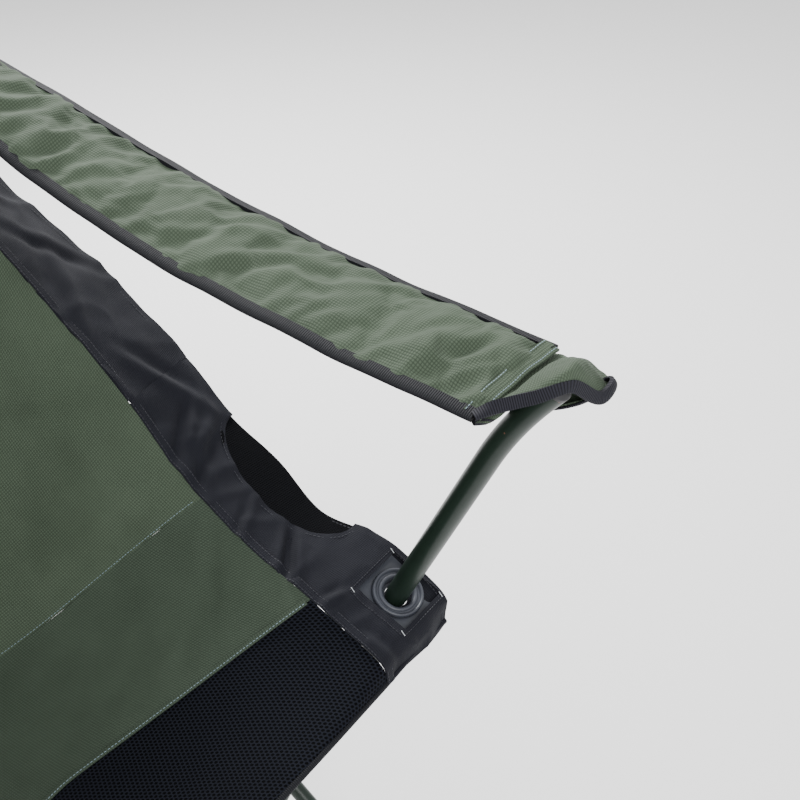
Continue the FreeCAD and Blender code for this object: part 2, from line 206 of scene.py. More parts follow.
# %% Woven cloth
def woven(name, light, dark, pitch_mm, rib=0.0, rough=0.78, depth=0.35):
    """Polyester with a check every pitch_mm. rib above 0 makes one direction stronger."""
    material, tree, shader = new_material(
        name, Roughness=rough, Sheen_Weight=0.03, Sheen_Roughness=0.45, Specular_IOR_Level=0.12)
    uv = add(tree, "ShaderNodeUVMap", uv_map="UVMap").outputs[0]
    axes = add(tree, "ShaderNodeSeparateXYZ", {0: uv})
    waves = []
    for k, power in ((0, 0.6), (1, 0.6 * (1 - rib))):
        angle = add(tree, "ShaderNodeMath", {0: axes.outputs[k], 1: math.pi / (pitch_mm * MM)},
                    operation="MULTIPLY")
        wave = add(tree, "ShaderNodeMath", {0: angle.outputs[0]}, operation="SINE")
        size = add(tree, "ShaderNodeMath", {0: wave.outputs[0]}, operation="ABSOLUTE")
        waves.append(add(tree, "ShaderNodeMath", {0: size.outputs[0], 1: power}, operation="POWER"))
    check = add(tree, "ShaderNodeMath", {0: waves[0].outputs[0], 1: waves[1].outputs[0]},
                operation="MULTIPLY")
    place = add(tree, "ShaderNodeTexCoord").outputs["Object"]
    soil = add(tree, "ShaderNodeTexNoise", {"Vector": place, "Scale": 14.0, "Detail": 5.0, "Roughness": 0.6})
    fibre = add(tree, "ShaderNodeTexNoise", {"Vector": uv, "Scale": 1800.0, "Detail": 2.0})
    mixed = add(tree, "ShaderNodeMath", {0: soil.outputs[0], 1: 0.35, 2: 0.2}, operation="MULTIPLY_ADD")
    speck = add(tree, "ShaderNodeMath", {0: fibre.outputs[0], 1: 0.35, 2: mixed.outputs[0]},
                operation="MULTIPLY_ADD")
    # The colour darkens between the raised checks as painted shade in the weave's grooves; the noise adds
    # real uneven dye and soiling.
    tone_and_groove_shade = add(tree, "ShaderNodeMath", {0: check.outputs[0], 1: 0.42, 2: speck.outputs[0]},
                operation="MULTIPLY_ADD")
    colour = add(tree, "ShaderNodeValToRGB", {0: tone_and_groove_shade.outputs[0]})
    low, high = colour.color_ramp.elements
    low.position, low.color = 0.30, hexcol(dark)
    high.position, high.color = 0.95, hexcol(light)
    bump = add(tree, "ShaderNodeBump", {"Strength": depth, "Distance": 0.0004, "Height": check.outputs[0]})
    tree.links.new(colour.outputs[0], shader.inputs["Base Color"])
    tree.links.new(bump.outputs[0], shader.inputs["Normal"])
    return material


green_cloth = woven("woven polyester sage green", "#4c5849", "#1a2119", 2.2, depth=0.8)
# The seat's copy of the sage green cloth is made darker as painted shade in the seat's hollow; the real seat
# is the same cloth.
seat_cloth_painted_shade = woven("woven polyester deep green", "#434e42", "#182018", 2.2, depth=0.8)
charcoal_cloth = woven("woven polyester charcoal", "#1c1d24", "#07070b", 1.8, rib=0.35, depth=0.6)
print("cloth", green_cloth.name, charcoal_cloth.name)

# %% [markdown]
# ## Spacer mesh
# The front of the seat and the wing inserts are spacer mesh: a knitted face with a hole every few
# millimetres. Real holes would need millions of faces, so the holes are drawn: the distance to the
# nearest point of a triangular grid, in metres on the UV map, gives a pit with a raised rim. The
# pit's near-black colour is painted shade inside the hole.

# %% Spacer mesh
def spacer_mesh(name, light, dark, pitch_mm):
    material, tree, shader = new_material(name, Roughness=0.85, Specular_IOR_Level=0.06)
    uv = add(tree, "ShaderNodeUVMap", uv_map="UVMap").outputs[0]
    wide, tall = pitch_mm * MM, pitch_mm * MM * math.sqrt(3)
    distances = []
    for shift in (0.0, 0.5):
        cell = add(tree, "ShaderNodeVectorMath", {0: uv, 1: (1 / wide, 1 / tall, 0)},
                   operation="MULTIPLY")
        moved = add(tree, "ShaderNodeVectorMath", {0: cell.outputs[0], 1: (shift, shift, 0)},
                    operation="ADD")
        inside = add(tree, "ShaderNodeVectorMath", {0: moved.outputs[0]}, operation="FRACTION")
        middle = add(tree, "ShaderNodeVectorMath", {0: inside.outputs[0], 1: (0.5, 0.5, 0)},
                     operation="SUBTRACT")
        real = add(tree, "ShaderNodeVectorMath", {0: middle.outputs[0], 1: (wide, tall, 0)},
                   operation="MULTIPLY")
        length = add(tree, "ShaderNodeVectorMath", {0: real.outputs[0]}, operation="LENGTH")
        distances.append(length.outputs["Value"])
    near = add(tree, "ShaderNodeMath", {0: distances[0], 1: distances[1]}, operation="MINIMUM")
    rim = add(tree, "ShaderNodeMapRange", {0: near.outputs[0], 1: wide * 0.22, 2: wide * 0.42},
              interpolation_type="SMOOTHSTEP")
    # The near-black colour in each hole's middle is painted shade inside the hole.
    colour = add(tree, "ShaderNodeMix", {0: rim.outputs[0], 6: hexcol(dark), 7: hexcol(light)},
                 data_type="RGBA")
    bump = add(tree, "ShaderNodeBump", {"Strength": 0.8, "Distance": 0.0009, "Height": rim.outputs[0]})
    tree.links.new(colour.outputs[2], shader.inputs["Base Color"])
    tree.links.new(bump.outputs[0], shader.inputs["Normal"])
    return material


# The second colour of each mesh is the painted shade in its holes.
seat_mesh = spacer_mesh("spacer mesh black", "#181a21", "#020203", 3.6)
fine_mesh = spacer_mesh("spacer mesh black fine", "#0a0b0f", "#010102", 2.2)

# %% [markdown]
# ## Webbing
# The edges are bound with ribbed polypropylene webbing: fine ribs across the tape. The tape's UV map
# runs along it in metres, so one sine wave gives the ribs at their real pitch.

# %% Ribbed webbing
def ribbed(name, light, dark, pitch_mm):
    material, tree, shader = new_material(name, Roughness=0.65, Specular_IOR_Level=0.15)
    uv = add(tree, "ShaderNodeUVMap", uv_map="UVMap").outputs[0]
    along = add(tree, "ShaderNodeSeparateXYZ", {0: uv}).outputs[1]
    angle = add(tree, "ShaderNodeMath", {0: along, 1: math.pi / (pitch_mm * MM)}, operation="MULTIPLY")
    wave = add(tree, "ShaderNodeMath", {0: angle.outputs[0]}, operation="SINE")
    rib = add(tree, "ShaderNodeMath", {0: wave.outputs[0]}, operation="ABSOLUTE")
    fibre = add(tree, "ShaderNodeTexNoise", {"Vector": uv, "Scale": 900.0, "Detail": 2.0})
    # The colour darkens in the grooves between the ribs as painted shade; the fibre noise is the tape's own
    # uneven tone.
    tone_and_groove_shade = add(tree, "ShaderNodeMath", {0: fibre.outputs[0], 1: 0.5, 2: rib.outputs[0]},
                operation="MULTIPLY_ADD")
    share = add(tree, "ShaderNodeMapRange", {0: tone_and_groove_shade.outputs[0], 1: 0.25, 2: 1.35})
    colour = add(tree, "ShaderNodeMix", {0: share.outputs[0], 6: hexcol(dark), 7: hexcol(light)},
                 data_type="RGBA")
    bump = add(tree, "ShaderNodeBump", {"Strength": 0.7, "Distance": 0.0005, "Height": rib.outputs[0]})
    tree.links.new(colour.outputs[2], shader.inputs["Base Color"])
    tree.links.new(bump.outputs[0], shader.inputs["Normal"])
    return material


webbing = ribbed("ribbed webbing black", "#1c1d22", "#050507", 1.7)
hood_tape = ribbed("ribbed binding dark grey", "#26262e", "#0a0a0e", 1.7)

# %% [markdown]
# ## Painted steel, plastics, rubber, rivets and thread
# The tubes are enamelled steel: a dark green with a thin clear skin, a slight orange-peel bump and
# rare chips down to the red primer. The plastics are injection moulded:
# an even colour, a satin skin and a very fine grain.

# %% Enamelled tube
def enamel(name):
    material, tree, shader = new_material(
        name, Roughness=0.36, Coat_Weight=0.05, Coat_Roughness=0.10, Specular_IOR_Level=0.25)
    place = add(tree, "ShaderNodeTexCoord").outputs["Object"]
    cloud = add(tree, "ShaderNodeTexNoise", {"Vector": place, "Scale": 22.0, "Detail": 3.0})
    paint = add(tree, "ShaderNodeMix", {0: cloud.outputs[0], 6: hexcol("#131c17"), 7: hexcol("#1d2a22")},
                data_type="RGBA")
    spots = add(tree, "ShaderNodeTexVoronoi", {"Vector": place, "Scale": 38.0, "Randomness": 1.0})
    ragged = add(tree, "ShaderNodeTexNoise", {"Vector": place, "Scale": 420.0, "Detail": 2.0})
    size = add(tree, "ShaderNodeMath", {0: ragged.outputs[0], 1: 0.09, 2: spots.outputs["Distance"]},
               operation="MULTIPLY_ADD")
    chip = add(tree, "ShaderNodeMath", {0: size.outputs[0], 1: 0.098}, operation="LESS_THAN")
    body = add(tree, "ShaderNodeMix", {0: chip.outputs[0], 6: paint.outputs[2], 7: hexcol("#6b4a3c")},
               data_type="RGBA")
    peel = add(tree, "ShaderNodeTexNoise", {"Vector": place, "Scale": 260.0, "Detail": 2.0})
    bump = add(tree, "ShaderNodeBump", {"Strength": 0.08, "Distance": 0.0004, "Height": peel.outputs[0]})
    tree.links.new(body.outputs[2], shader.inputs["Base Color"])
    tree.links.new(bump.outputs[0], shader.inputs["Normal"])
    return material


tube_paint = enamel("enamelled steel dark green")


# %% Moulded plastics, rubber, steel and thread
def moulded(name, code, rough, grain=0.12, scale=900.0, **shader_values):
    material, tree, shader = new_material(name, Base_Color=hexcol(code), **shader_values)
    place = add(tree, "ShaderNodeTexCoord").outputs["Object"]
    skin = add(tree, "ShaderNodeTexNoise", {"Vector": place, "Scale": scale, "Detail": 3.0})
    wear = add(tree, "ShaderNodeTexNoise", {"Vector": place, "Scale": 40.0, "Detail": 4.0})
    shine = add(tree, "ShaderNodeMapRange",
                {0: wear.outputs[0], 1: 0.3, 2: 0.7, 3: rough - 0.08, 4: rough + 0.1})
    bump = add(tree, "ShaderNodeBump", {"Strength": grain, "Distance": 0.0003, "Height": skin.outputs[0]})
    tree.links.new(shine.outputs[0], shader.inputs["Roughness"])
    tree.links.new(bump.outputs[0], shader.inputs["Normal"])
    return material


ring_plastic = moulded("moulded nylon mid grey", "#3b3e46", 0.42, Specular_IOR_Level=0.5)
hub_plastic = moulded("moulded nylon black", "#1b1b1e", 0.5)
foot_rubber = moulded("moulded rubber black", "#171717", 0.82, grain=0.3, scale=500.0)
rivet_steel = moulded("zinc plated steel", "#b9b9b4", 0.35, grain=0.05, Metallic=1.0)
thread = moulded("polyester thread grey blue", "#8296a0", 0.6, scale=3000.0)
dark_thread = moulded("polyester thread charcoal", "#23242c", 0.6, scale=3000.0)
pale_thread = moulded("polyester thread pale grey", "#b9bcc0", 0.6, scale=3000.0)

# %% [markdown]
# ## The sling's shape
# The sling is one bucket of cloth. It is described as a tailor would mark it: stations from the
# front hem to the top of the back, and at each one three points, in the middle, at the inner seam
# of the side band, and at the outer edge. A smooth curve through the stations gives any point.

# %% Sling stations
SLING = [
    ((0, -306, 380), (200, -306, 385), (282, -305, 387)),
    ((0, -297, 379), (200, -299, 405), (287, -298, 414)),
    ((0, -257, 372), (200, -262, 422), (290, -262, 431)),
    ((0, -217, 364), (200, -224, 438), (285, -224, 445)),
    ((0, -167, 357), (200, -178, 454), (274, -182, 456)),
    ((0, -112, 350), (200, -132, 477), (280, -134, 482)),
    ((0, -57, 346), (200, -88, 509), (276, -85, 511)),
    ((0, -2, 352), (200, -47, 550), (279, -34, 548)),
    ((0, 60, 385), (200, 5, 592), (279, 28, 588)),
    ((0, 123, 445), (200, 65, 634), (276, 98, 628)),
    ((0, 183, 530), (201, 134, 678), (270, 174, 664)),
    ((0, 232, 625), (203, 204, 722), (257, 235, 702)),
    ((0, 268, 720), (206, 262, 780), (247, 286, 770)),
    ((0, 298, 805), (208, 296, 848), (247, 307, 842)),
    ((0, 321, 880), (210, 320, 908), (247, 325, 906)),
    ((0, 339, 945), (212, 335, 955), (247, 339, 955)),
]
CREASE, BACK_START, TOP = 7.0, 11.0, 15.0
INSERT_X, INSERT_Y = 276, -149              # middle of the oval mesh insert, and its half axes
INSERT_HALF_X, INSERT_HALF_Y = 38, 63
INSERT_SEAM = 3.5                           # its seam's distance outside the oval
MARKS = (np.array(SLING, float) + [0, MIDDLE_Y, 0]) * MM
SPINE = 2.1


def through(points, t):
    """A smooth curve through evenly numbered points, at t."""
    n = len(points)
    i = int(min(max(math.floor(t), 0), n - 2))
    f = t - i
    a, b = points[i], points[i + 1]
    before = points[i - 1] if i > 0 else 2 * a - b
    after = points[i + 2] if i + 2 < n else 2 * b - a
    return 0.5 * ((2 * a) + (b - before) * f + (2 * before - 5 * a + 4 * b - after) * f ** 2
                  + (3 * a - before - 3 * b + after) * f ** 3)


def sling(s, v):
    """Point of the bucket at station s; v is 0 in the middle, 1 at the seam, 2 at the edge."""
    sign, w = (-1 if v < 0 else 1), abs(v)
    middle, seam, edge = (through(MARKS[:, k], s) for k in range(3))
    if w <= 1:
        p = middle + (seam - middle) * (w ** SPINE)
        p[0] = w * seam[0]
    else:
        k = w - 1
        p = seam * (1 - k) + edge * k
        p[2] += 6 * MM * k * (1 - k)
    return np.array([sign * p[0], p[1], p[2]])


def sling_normal(s, v):
    """Upward normal of the bucket."""
    ds = sling(min(s + 0.03, TOP), v) - sling(max(s - 0.03, 0), v)
    dv = sling(s, v + 0.02) - sling(s, v - 0.02)
    n = np.cross(dv, ds)
    return n / np.linalg.norm(n)


print("seat bottom", sling(CREASE, 0), "corner", sling(2.0, 1.6))

# %% [markdown]
# ## Cutting the cloth
# Each panel is a fine grid laid on the bucket, so that neighbours meet exactly at their seams.
# Folds are where the cloth is pulled: each one is a soft ridge with a hollow beside it, along a line
# on the surface. The UV map is laid out in metres, as the cloth was cut. A thin Solidify gives the
# cloth its thickness.

# %% Cloth panels from a grid
def lay_uv(piece, u, v):
    """UV map in metres from one pair of values per vertex."""
    layer = piece.data.uv_layers.new(name="UVMap")
    index = np.empty(len(piece.data.loops), int)
    piece.data.loops.foreach_get("vertex_index", index)
    layer.data.foreach_set("uv", np.stack([u[index], v[index]], 1).ravel())


def grid_piece(name, points):
    """A mesh from a grid of points of shape (rows, columns, 3), with its UV map in metres."""
    rows, cols = points.shape[:2]
    along = np.vstack([np.zeros(cols), np.cumsum(np.linalg.norm(np.diff(points, axis=0), axis=2), 0)])
    across = np.hstack([np.zeros((rows, 1)), np.cumsum(np.linalg.norm(np.diff(points, axis=1), axis=2), 1)])
    across = across - across[:, cols // 2:cols // 2 + 1]
    along = along - along[rows // 2:rows // 2 + 1, :]
    faces = [(i * cols + j, i * cols + j + 1, (i + 1) * cols + j + 1, (i + 1) * cols + j)
             for i in range(rows - 1) for j in range(cols - 1)]
    piece = build(name, points.reshape(-1, 3), faces)
    lay_uv(piece, across.ravel(), along.ravel())
    piece["flat"] = [float(np.ptp(across)), float(np.ptp(along))]
    return piece


def grid_normals(points):
    """Unit normal at each grid point, from its neighbours."""
    n = np.cross(np.gradient(points, axis=1), np.gradient(points, axis=0))
    return n / np.maximum(np.linalg.norm(n, axis=2, keepdims=True), 1e-12)


def fold_heights(points, normals, folds):
    """Sum of the folds' heights. A fold is (start, end, height in mm, width in mm)."""
    total = np.zeros(points.shape[:2])
    for start, end, height, width in folds:
        a, b = np.array(start), np.array(end)
        line = b - a
        t = np.clip(((points - a) @ line) / (line @ line), 0, 1)
        off = points - (a + t[..., None] * line)
        side = np.sum(off * np.cross(normals, line / np.linalg.norm(line)), axis=2)
        gap = np.linalg.norm(off, axis=2)
        w = width * MM
        ridge = np.exp(-(gap / w) ** 2)
        hollow = 0.7 * np.exp(-((side - 1.5 * w) / w) ** 2 - ((gap ** 2 - side ** 2) / w ** 2).clip(0))
        total += height * MM * (ridge - hollow) * (0.25 + 0.75 * np.sin(np.pi * t.clip(0.03, 0.97)))
    return total


def ripple(points, height, scale, stretch=(1, 1, 1), seed=0.0):
    """Slow unevenness of the cloth, in mm, from a fixed noise."""
    flat = points.reshape(-1, 3) * np.array(stretch) * scale + seed
    values = np.array([noise.fractal(Vector(p), 0.8, 2.0, 3) for p in flat])
    return values.reshape(points.shape[:2]) * height * MM


def creases(points, direction, height, short, long, seed=0.0):
    """Irregular creases that run along direction: sharp soft ridges, short and long in mm."""
    run = np.array(direction, float) / np.linalg.norm(direction)
    flat = points.reshape(-1, 3)
    along = flat @ run
    off = (flat - along[:, None] * run) / (short * MM)
    values = []
    for a, o in zip(along / (long * MM), off):
        wander = noise.noise(Vector((a * 1.3, seed, 0.3)))
        n = noise.noise(Vector((a + seed, o[0] + o[2] + 0.9 * wander, o[1])))
        values.append(0.55 - abs(n) ** 0.75)
    return np.array(values).reshape(points.shape[:2]) * height * MM


def wing_folds(side):
    """Folds of the side band and the panel beside it: (s, v) of both ends, height, width."""
    marks = [((6.55, 1.62), (5.95, 1.02), -3.2, 5), ((7.6, 1.25), (6.30, 1.80), 2.6, 7),
             ((6.15, 1.80), (5.70, 1.08), 2.8, 6), ((5.85, 1.30), (5.35, 1.05), -2.2, 5),
             ((4.40, 1.00), (4.75, 1.45), 2.0, 4), ((3.46, 1.00), (4.05, 1.55), -3.0, 4),
             ((3.20, 1.02), (3.80, 1.50), 2.2, 5), ((2.62, 1.02), (2.42, 1.30), 2.6, 4),
             ((0.60, 1.20), (1.60, 1.16), -2.4, 5), ((0.50, 1.45), (1.20, 1.30), 1.6, 5),
             ((7.9, 1.1), (9.2, 1.7), 2.4, 8), ((9.6, 1.2), (8.4, 1.9), -2.0, 7),
             ((10.4, 1.15), (9.6, 1.75), 2.2, 7)]
    return [(sling(a[0], side * a[1]), sling(b[0], side * b[1]), 1.6 * h, w) for a, b, h, w in marks]


def panel_folds():
    """Long soft folds in the green panels, fanning from the crease and the back's corners."""
    marks = [((5.2, 0.97), (4.3, 0.50), 1.6, 9), ((5.0, 0.97), (3.9, 0.70), -1.2, 7),
             ((6.1, 0.97), (7.2, 0.45), 2.6, 10), ((6.6, 0.98), (8.1, 0.55), -2.2, 9),
             ((7.4, 0.98), (9.0, 0.62), 2.0, 10), ((10.8, 0.98), (8.9, 0.50), 2.2, 12),
             ((11.6, 0.98), (9.9, 0.40), -1.8, 11), ((14.6, 0.97), (12.4, 0.55), 1.8, 12)]
    fans = [(sling(a[0], side * a[1]), sling(b[0], side * b[1]), h, w)
            for side in (1, -1) for a, b, h, w in marks]
    return fans + [(sling(7.2, -0.4), sling(7.2, 0.4), -2.0, 9)]


def cloth(name, low, high, v0, v1, rows, cols, folds, uneven=1.0, seed=0.0, lift=0.0, thick=1.2, belly=0.0,
          crease=None):
    """A panel between stations low(v) and high(v) and widths v0..v1, thickened downwards.
    lift raises it all and belly raises its middle, in mm."""
    grid = np.array([[sling(low(v) * (1 - t) + high(v) * t, v) for v in np.linspace(v0, v1, cols)]
                     for t in np.linspace(0, 1, rows)])
    normals = grid_normals(grid)
    if normals[rows // 2, cols // 2, 2] < 0:
        normals = -normals
    hump = np.outer(np.sin(np.linspace(0, np.pi, rows)), np.sin(np.linspace(0, np.pi, cols))) ** 0.6
    height = fold_heights(grid, normals, folds) + ripple(grid, uneven, 16.0, seed=seed)
    height = height + (lift + belly * hump) * MM
    if crease:
        height = height + creases(grid, *crease)
    piece = grid_piece(name, grid + normals * height[..., None])
    modify(piece, "SOLIDIFY", thickness=thick * MM, offset=-1 if grid_faces_up(piece) else 1)
    smooth(piece, 60)
    return piece


def grid_faces_up(piece):
    return piece.data.polygons[len(piece.data.polygons) // 2].normal.z > 0


def mesh_line(v):
    """Station where the front mesh meets the green seat, further forward at the sides."""
    return 4.30 - 1.45 * abs(v) ** 1.6


def crease_line(v):
    """Station of the crease between the seat and the lower back."""
    return 7.0 - 1.7 * abs(v) ** 1.8


print("mesh line", mesh_line(0), mesh_line(1), "crease", crease_line(0), crease_line(1))

# %% [markdown]
# ## The green panels and the front mesh
# The seat, the lower back and the back are one green cloth on the real chair, sewn across at the
# crease. Here they are three pieces, because the chair folds at these lines.

# %% Green panels and front mesh
folds = panel_folds()
front_mesh = cloth("front_mesh_panel", lambda v: 0.25, mesh_line, -1, 1, 34, 110, [], 1.2, 3.1, -0.4)
seat_green = cloth("seat_green_panel", mesh_line, crease_line, -1, 1, 60, 150, folds, 1.4, 7.7)
low_green = cloth("lower_back_green_panel", crease_line, lambda v: BACK_START, -1, 1, 90, 150,
                  folds, 1.6, 1.3)
back_green = cloth("back_green_panel", lambda v: BACK_START, lambda v: TOP - 0.12, -1, 1, 90, 130,
                   folds, 1.8, 5.9)
dress(front_mesh, seat_mesh, "black_mesh", "seat", "seat_front_mesh")
# The seat panel takes the darker copy of the green: painted shade in the seat's hollow.
dress(seat_green, seat_cloth_painted_shade, "green_cloth", "seat", "seat_panel")
dress(low_green, green_cloth, "green_cloth", "sling", "sling_panel")
dress(back_green, green_cloth, "green_cloth", "rear_left", "back_panel")
for piece in (front_mesh, seat_green, low_green, back_green):
    print(piece.name, len(piece.data.vertices), "cut", [round(c, 3) for c in piece["flat"]])

# %% [markdown]
# ## Tapes and bindings
# A tape is a flat ribbon that follows a line on the cloth. A binding is a tape folded over an edge,
# so its section is a flat U. Both are swept along their line, with their UV map in metres along it.

# %% Swept tapes
def swept_section(name, path, side, up, section):
    """Sweeps a closed section, given as (side, up) pairs in mm, along a path."""
    n, m = len(path), len(section)
    rings = np.array([[path[i] + side[i] * a * MM + up[i] * b * MM for a, b in section] for i in range(n)])
    length = np.concatenate([[0], np.cumsum(np.linalg.norm(np.diff(path, axis=0), axis=1))])
    sides = [math.dist(a, b) for a, b in zip(section, section[1:])]
    around = np.concatenate([[0], np.cumsum(sides)]) * MM
    faces = [(i * m + k, i * m + (k + 1) % m, (i + 1) * m + (k + 1) % m, (i + 1) * m + k)
             for i in range(n - 1) for k in range(m)]
    faces += [tuple(range(m))[::-1], tuple((n - 1) * m + k for k in range(m))]
    piece = build(name, rings.reshape(-1, 3), faces)
    lay_uv(piece, np.tile(around, n), np.repeat(length, m))
    outward(piece, 1e-7)
    smooth(piece, 50)
    return piece


def path_frame(path, normals):
    """Side vectors of a path on a surface: square to the path and to the normals."""
    run = np.gradient(path, axis=0)
    side = np.cross(run, normals)
    return side / np.linalg.norm(side, axis=1, keepdims=True)


def surface_path(s_values, v_of, folds, uneven=0.0, seed=0.0):
    """A line on the folded bucket, with its normals."""
    path = np.array([sling(s, v_of(s)) for s in s_values])
    normals = np.array([sling_normal(s, v_of(s)) for s in s_values])
    normals[normals[:, 2] < 0] *= -1
    height = fold_heights(path[None], normals[None], folds)[0]
    if uneven:
        height = height + ripple(path[None], uneven, 16.0, seed=seed)[0]
    return path + normals * height[:, None], normals


def ribbon(half, thick, crown=0.3):
    """Section of a flat tape, in mm."""
    return [(-half, 0), (-half, thick), (-half * 0.4, thick + crown), (half * 0.4, thick + crown),
            (half, thick), (half, 0)]


def stitches(name, path, normals, pitch, length, thick, material, slot, body, lift=0.0):
    """A row of stitches: short rounded bars along a path, one mesh. Sizes in mm."""
    run = np.concatenate([[0], np.cumsum(np.linalg.norm(np.diff(path, axis=0), axis=1))])
    verts, faces = [], []
    for k in range(int(run[-1] / (pitch * MM))):
        t = (k + 0.5) * pitch * MM
        p = np.array([np.interp(t, run, path[:, c]) for c in range(3)])
        q = np.array([np.interp(t + 0.2 * MM, run, path[:, c]) for c in range(3)])
        n = np.array([np.interp(t, run, normals[:, c]) for c in range(3)])
        d = (q - p) / max(np.linalg.norm(q - p), 1e-9)
        side = np.cross(d, n)
        start = len(verts)
        for along, size in ((-0.5, 0.35), (-0.3, 1.0), (0.3, 1.0), (0.5, 0.35)):
            for a, b in ((1, 0), (0.5, 0.85), (-0.5, 0.85), (-1, 0), (-0.5, -0.85), (0.5, -0.85)):
                bow = lift + thick * 0.5 * (size - 0.6)
                verts.append(p + d * along * length * MM + side * a * thick / 2 * size * MM
                             + n * (bow + b * thick / 2 * size) * MM)
        for ring in (start, start + 6, start + 12):
            faces += [(ring + c, ring + (c + 1) % 6, ring + 6 + (c + 1) % 6, ring + 6 + c) for c in range(6)]
        faces += [tuple(start + c for c in range(6))[::-1], tuple(start + 18 + c for c in range(6))]
    piece = build(name, verts, faces)
    outward(piece, 1e-7)
    return dress(piece, material, slot, body)

# %% [markdown]
# ## The ring, its plate and the arm post
# The bent arm post runs loosely through a moulded ring, which snaps into a square plate under the
# seat's corner. A turned part such as the ring is easiest to make like a potter makes a pot: start
# with one circle, then extrude it, scale it and raise it along the profile, and bridge the last
# circle back to the first.

# %% Turned parts and bent tubes
def start_circle(name, sides, radius):
    if bpy.context.mode != "OBJECT":
        bpy.ops.object.mode_set(mode="OBJECT")
    bpy.ops.object.select_all(action="DESELECT")
    bpy.ops.mesh.primitive_circle_add(vertices=sides, radius=radius, fill_type="NOTHING")
    piece = bpy.context.object
    piece.name = piece.data.name = name
    bpy.ops.object.mode_set(mode="EDIT")
    bpy.ops.mesh.select_all(action="SELECT")
    return piece


def turned(name, profile, sides=72):
    """A closed ring from (radius, height) pairs in mm, turned about Z."""
    piece = start_circle(name, sides, profile[0][0] * MM)
    bpy.ops.transform.translate(value=(0, 0, profile[0][1] * MM))
    for (r0, z0), (r1, z1) in zip(profile, profile[1:]):
        bpy.ops.mesh.extrude_region_move(TRANSFORM_OT_translate={"value": (0, 0, (z1 - z0) * MM)})
        bpy.ops.transform.resize(value=(r1 / r0, r1 / r0, 1), center_override=(0, 0, z1 * MM))
    bpy.ops.mesh.select_all(action="DESELECT")
    bpy.ops.mesh.select_non_manifold()
    bpy.ops.mesh.bridge_edge_loops()
    bpy.ops.object.mode_set(mode="OBJECT")
    outward(piece)
    smooth(piece, 50)
    return piece


def close_ends():
    """Fills the open ends of the mesh in edit mode."""
    bpy.ops.mesh.select_all(action="DESELECT")
    bpy.ops.mesh.select_non_manifold()
    bpy.ops.mesh.fill_holes(sides=0)
    bpy.ops.object.mode_set(mode="OBJECT")


def bent_tube(name, start, up, turn, radius, first, bend_radius, degrees, last, sides=40, steps=14):
    """A round tube: straight, bent towards turn, straight. start in metres, sizes in mm."""
    piece = start_circle(name, sides, radius * MM)
    bpy.ops.object.mode_set(mode="OBJECT")
    settle(piece, turned_to(start, up))
    edit_all(piece)
    bpy.ops.mesh.extrude_region_move(TRANSFORM_OT_translate={"value": up * first * MM})
    centre = start + up * first * MM + turn * bend_radius * MM
    bpy.ops.mesh.spin(steps=steps, angle=math.radians(degrees), center=centre, axis=turn.cross(up))
    a = math.radians(degrees)
    onward = up * math.cos(a) + turn * math.sin(a)
    bpy.ops.mesh.extrude_region_move(TRANSFORM_OT_translate={"value": onward * last * MM})
    close_ends()
    outward(piece)
    smooth(piece, 50)
    end = centre - turn * math.cos(a) * bend_radius * MM + up * math.sin(a) * bend_radius * MM
    return piece, end + onward * last * MM, onward


ARM_LEAN, PLATE_TILT, RING_UP = math.radians(24.5), math.radians(5.5), 27.0
ARM_UP = Vector((0, -math.sin(ARM_LEAN), math.cos(ARM_LEAN)))
ARM_TURN = Vector((0, -math.cos(ARM_LEAN), -math.sin(ARM_LEAN)))


def plate_frame(side):
    """Placement of a corner plate: its top face is z = 0 and the arm post runs through it."""
    normal = (ARM_UP - Vector((math.tan(PLATE_TILT) * side, 0, 0))).normalized()
    return turned_to(at(side * 260, -260, 394) + ARM_UP * RING_UP * MM, normal)


RING = [(9.9, -5.0), (9.9, -3.6), (12.2, -2.8), (12.7, 1.6), (13.1, 2.6), (14.0, 3.5), (15.2, 3.9),
        (16.2, 3.5), (16.7, 2.7),
        (17.0, 2.1), (18.0, 1.9), (18.6, 2.3), (18.9, 3.4), (19.5, 4.4), (20.5, 4.7), (21.4, 4.2),
        (22.0, 3.0), (22.0, 0.6), (21.4, 0.05), (16.8, 0.05), (16.8, -5.0)]

for side, word in ((1, "left"), (-1, "right")):
    pivot = at(side * 260, -260, 394)
    tube, end, onward = bent_tube("arm_tube_" + word, pivot + ARM_UP * 17 * MM, ARM_UP, ARM_TURN,
                                  9.5, 219 - 17, 350, 14, 9, sides=48, steps=16)
    dress(tube, tube_paint, "tube_paint", "arm_" + word, "arm_post_" + word)
    print(tube.name, "ends at", [round(c, 4) for c in end])
    ring = turned("corner_ring_moulded_" + word, RING)
    settle(ring, plate_frame(side))
    dress(ring, ring_plastic, "grey_plastic", "arm_" + word, "corner_ring_" + word)

    # the flattened end of the arm post, between the hub's cheeks
    bpy.ops.object.select_all(action="DESELECT")
    bpy.ops.mesh.primitive_cylinder_add(vertices=32, radius=9.5 * MM, depth=6 * MM, location=pivot,
                                        rotation=(0, math.pi / 2, 0))
    eye = bpy.context.object
    eye.name = "arm_tube_eye_" + word
    bpy.ops.object.mode_set(mode="EDIT")
    bpy.ops.mesh.select_all(action="SELECT")
    bpy.ops.mesh.bevel(offset=0.8 * MM, segments=2)
    bpy.ops.object.mode_set(mode="OBJECT")
    settle(eye)
    neck = start_circle("arm_tube_neck_" + word, 32, 9.4 * MM)
    bpy.ops.transform.resize(value=(3.0 / 9.4, 1, 1))
    bpy.ops.mesh.extrude_region_move(TRANSFORM_OT_translate={"value": (0, 0, 7 * MM)})
    bpy.ops.mesh.extrude_region_move(TRANSFORM_OT_translate={"value": (0, 0, 11 * MM)})
    bpy.ops.transform.resize(value=(9.45 / 3.0, 1, 1), center_override=(0, 0, 18 * MM))
    close_ends()
    settle(neck, turned_to(pivot, ARM_UP))
    for part in (eye, neck):
        outward(part)
        smooth(part, 40)
        dress(part, tube_paint, "tube_paint", "arm_" + word)
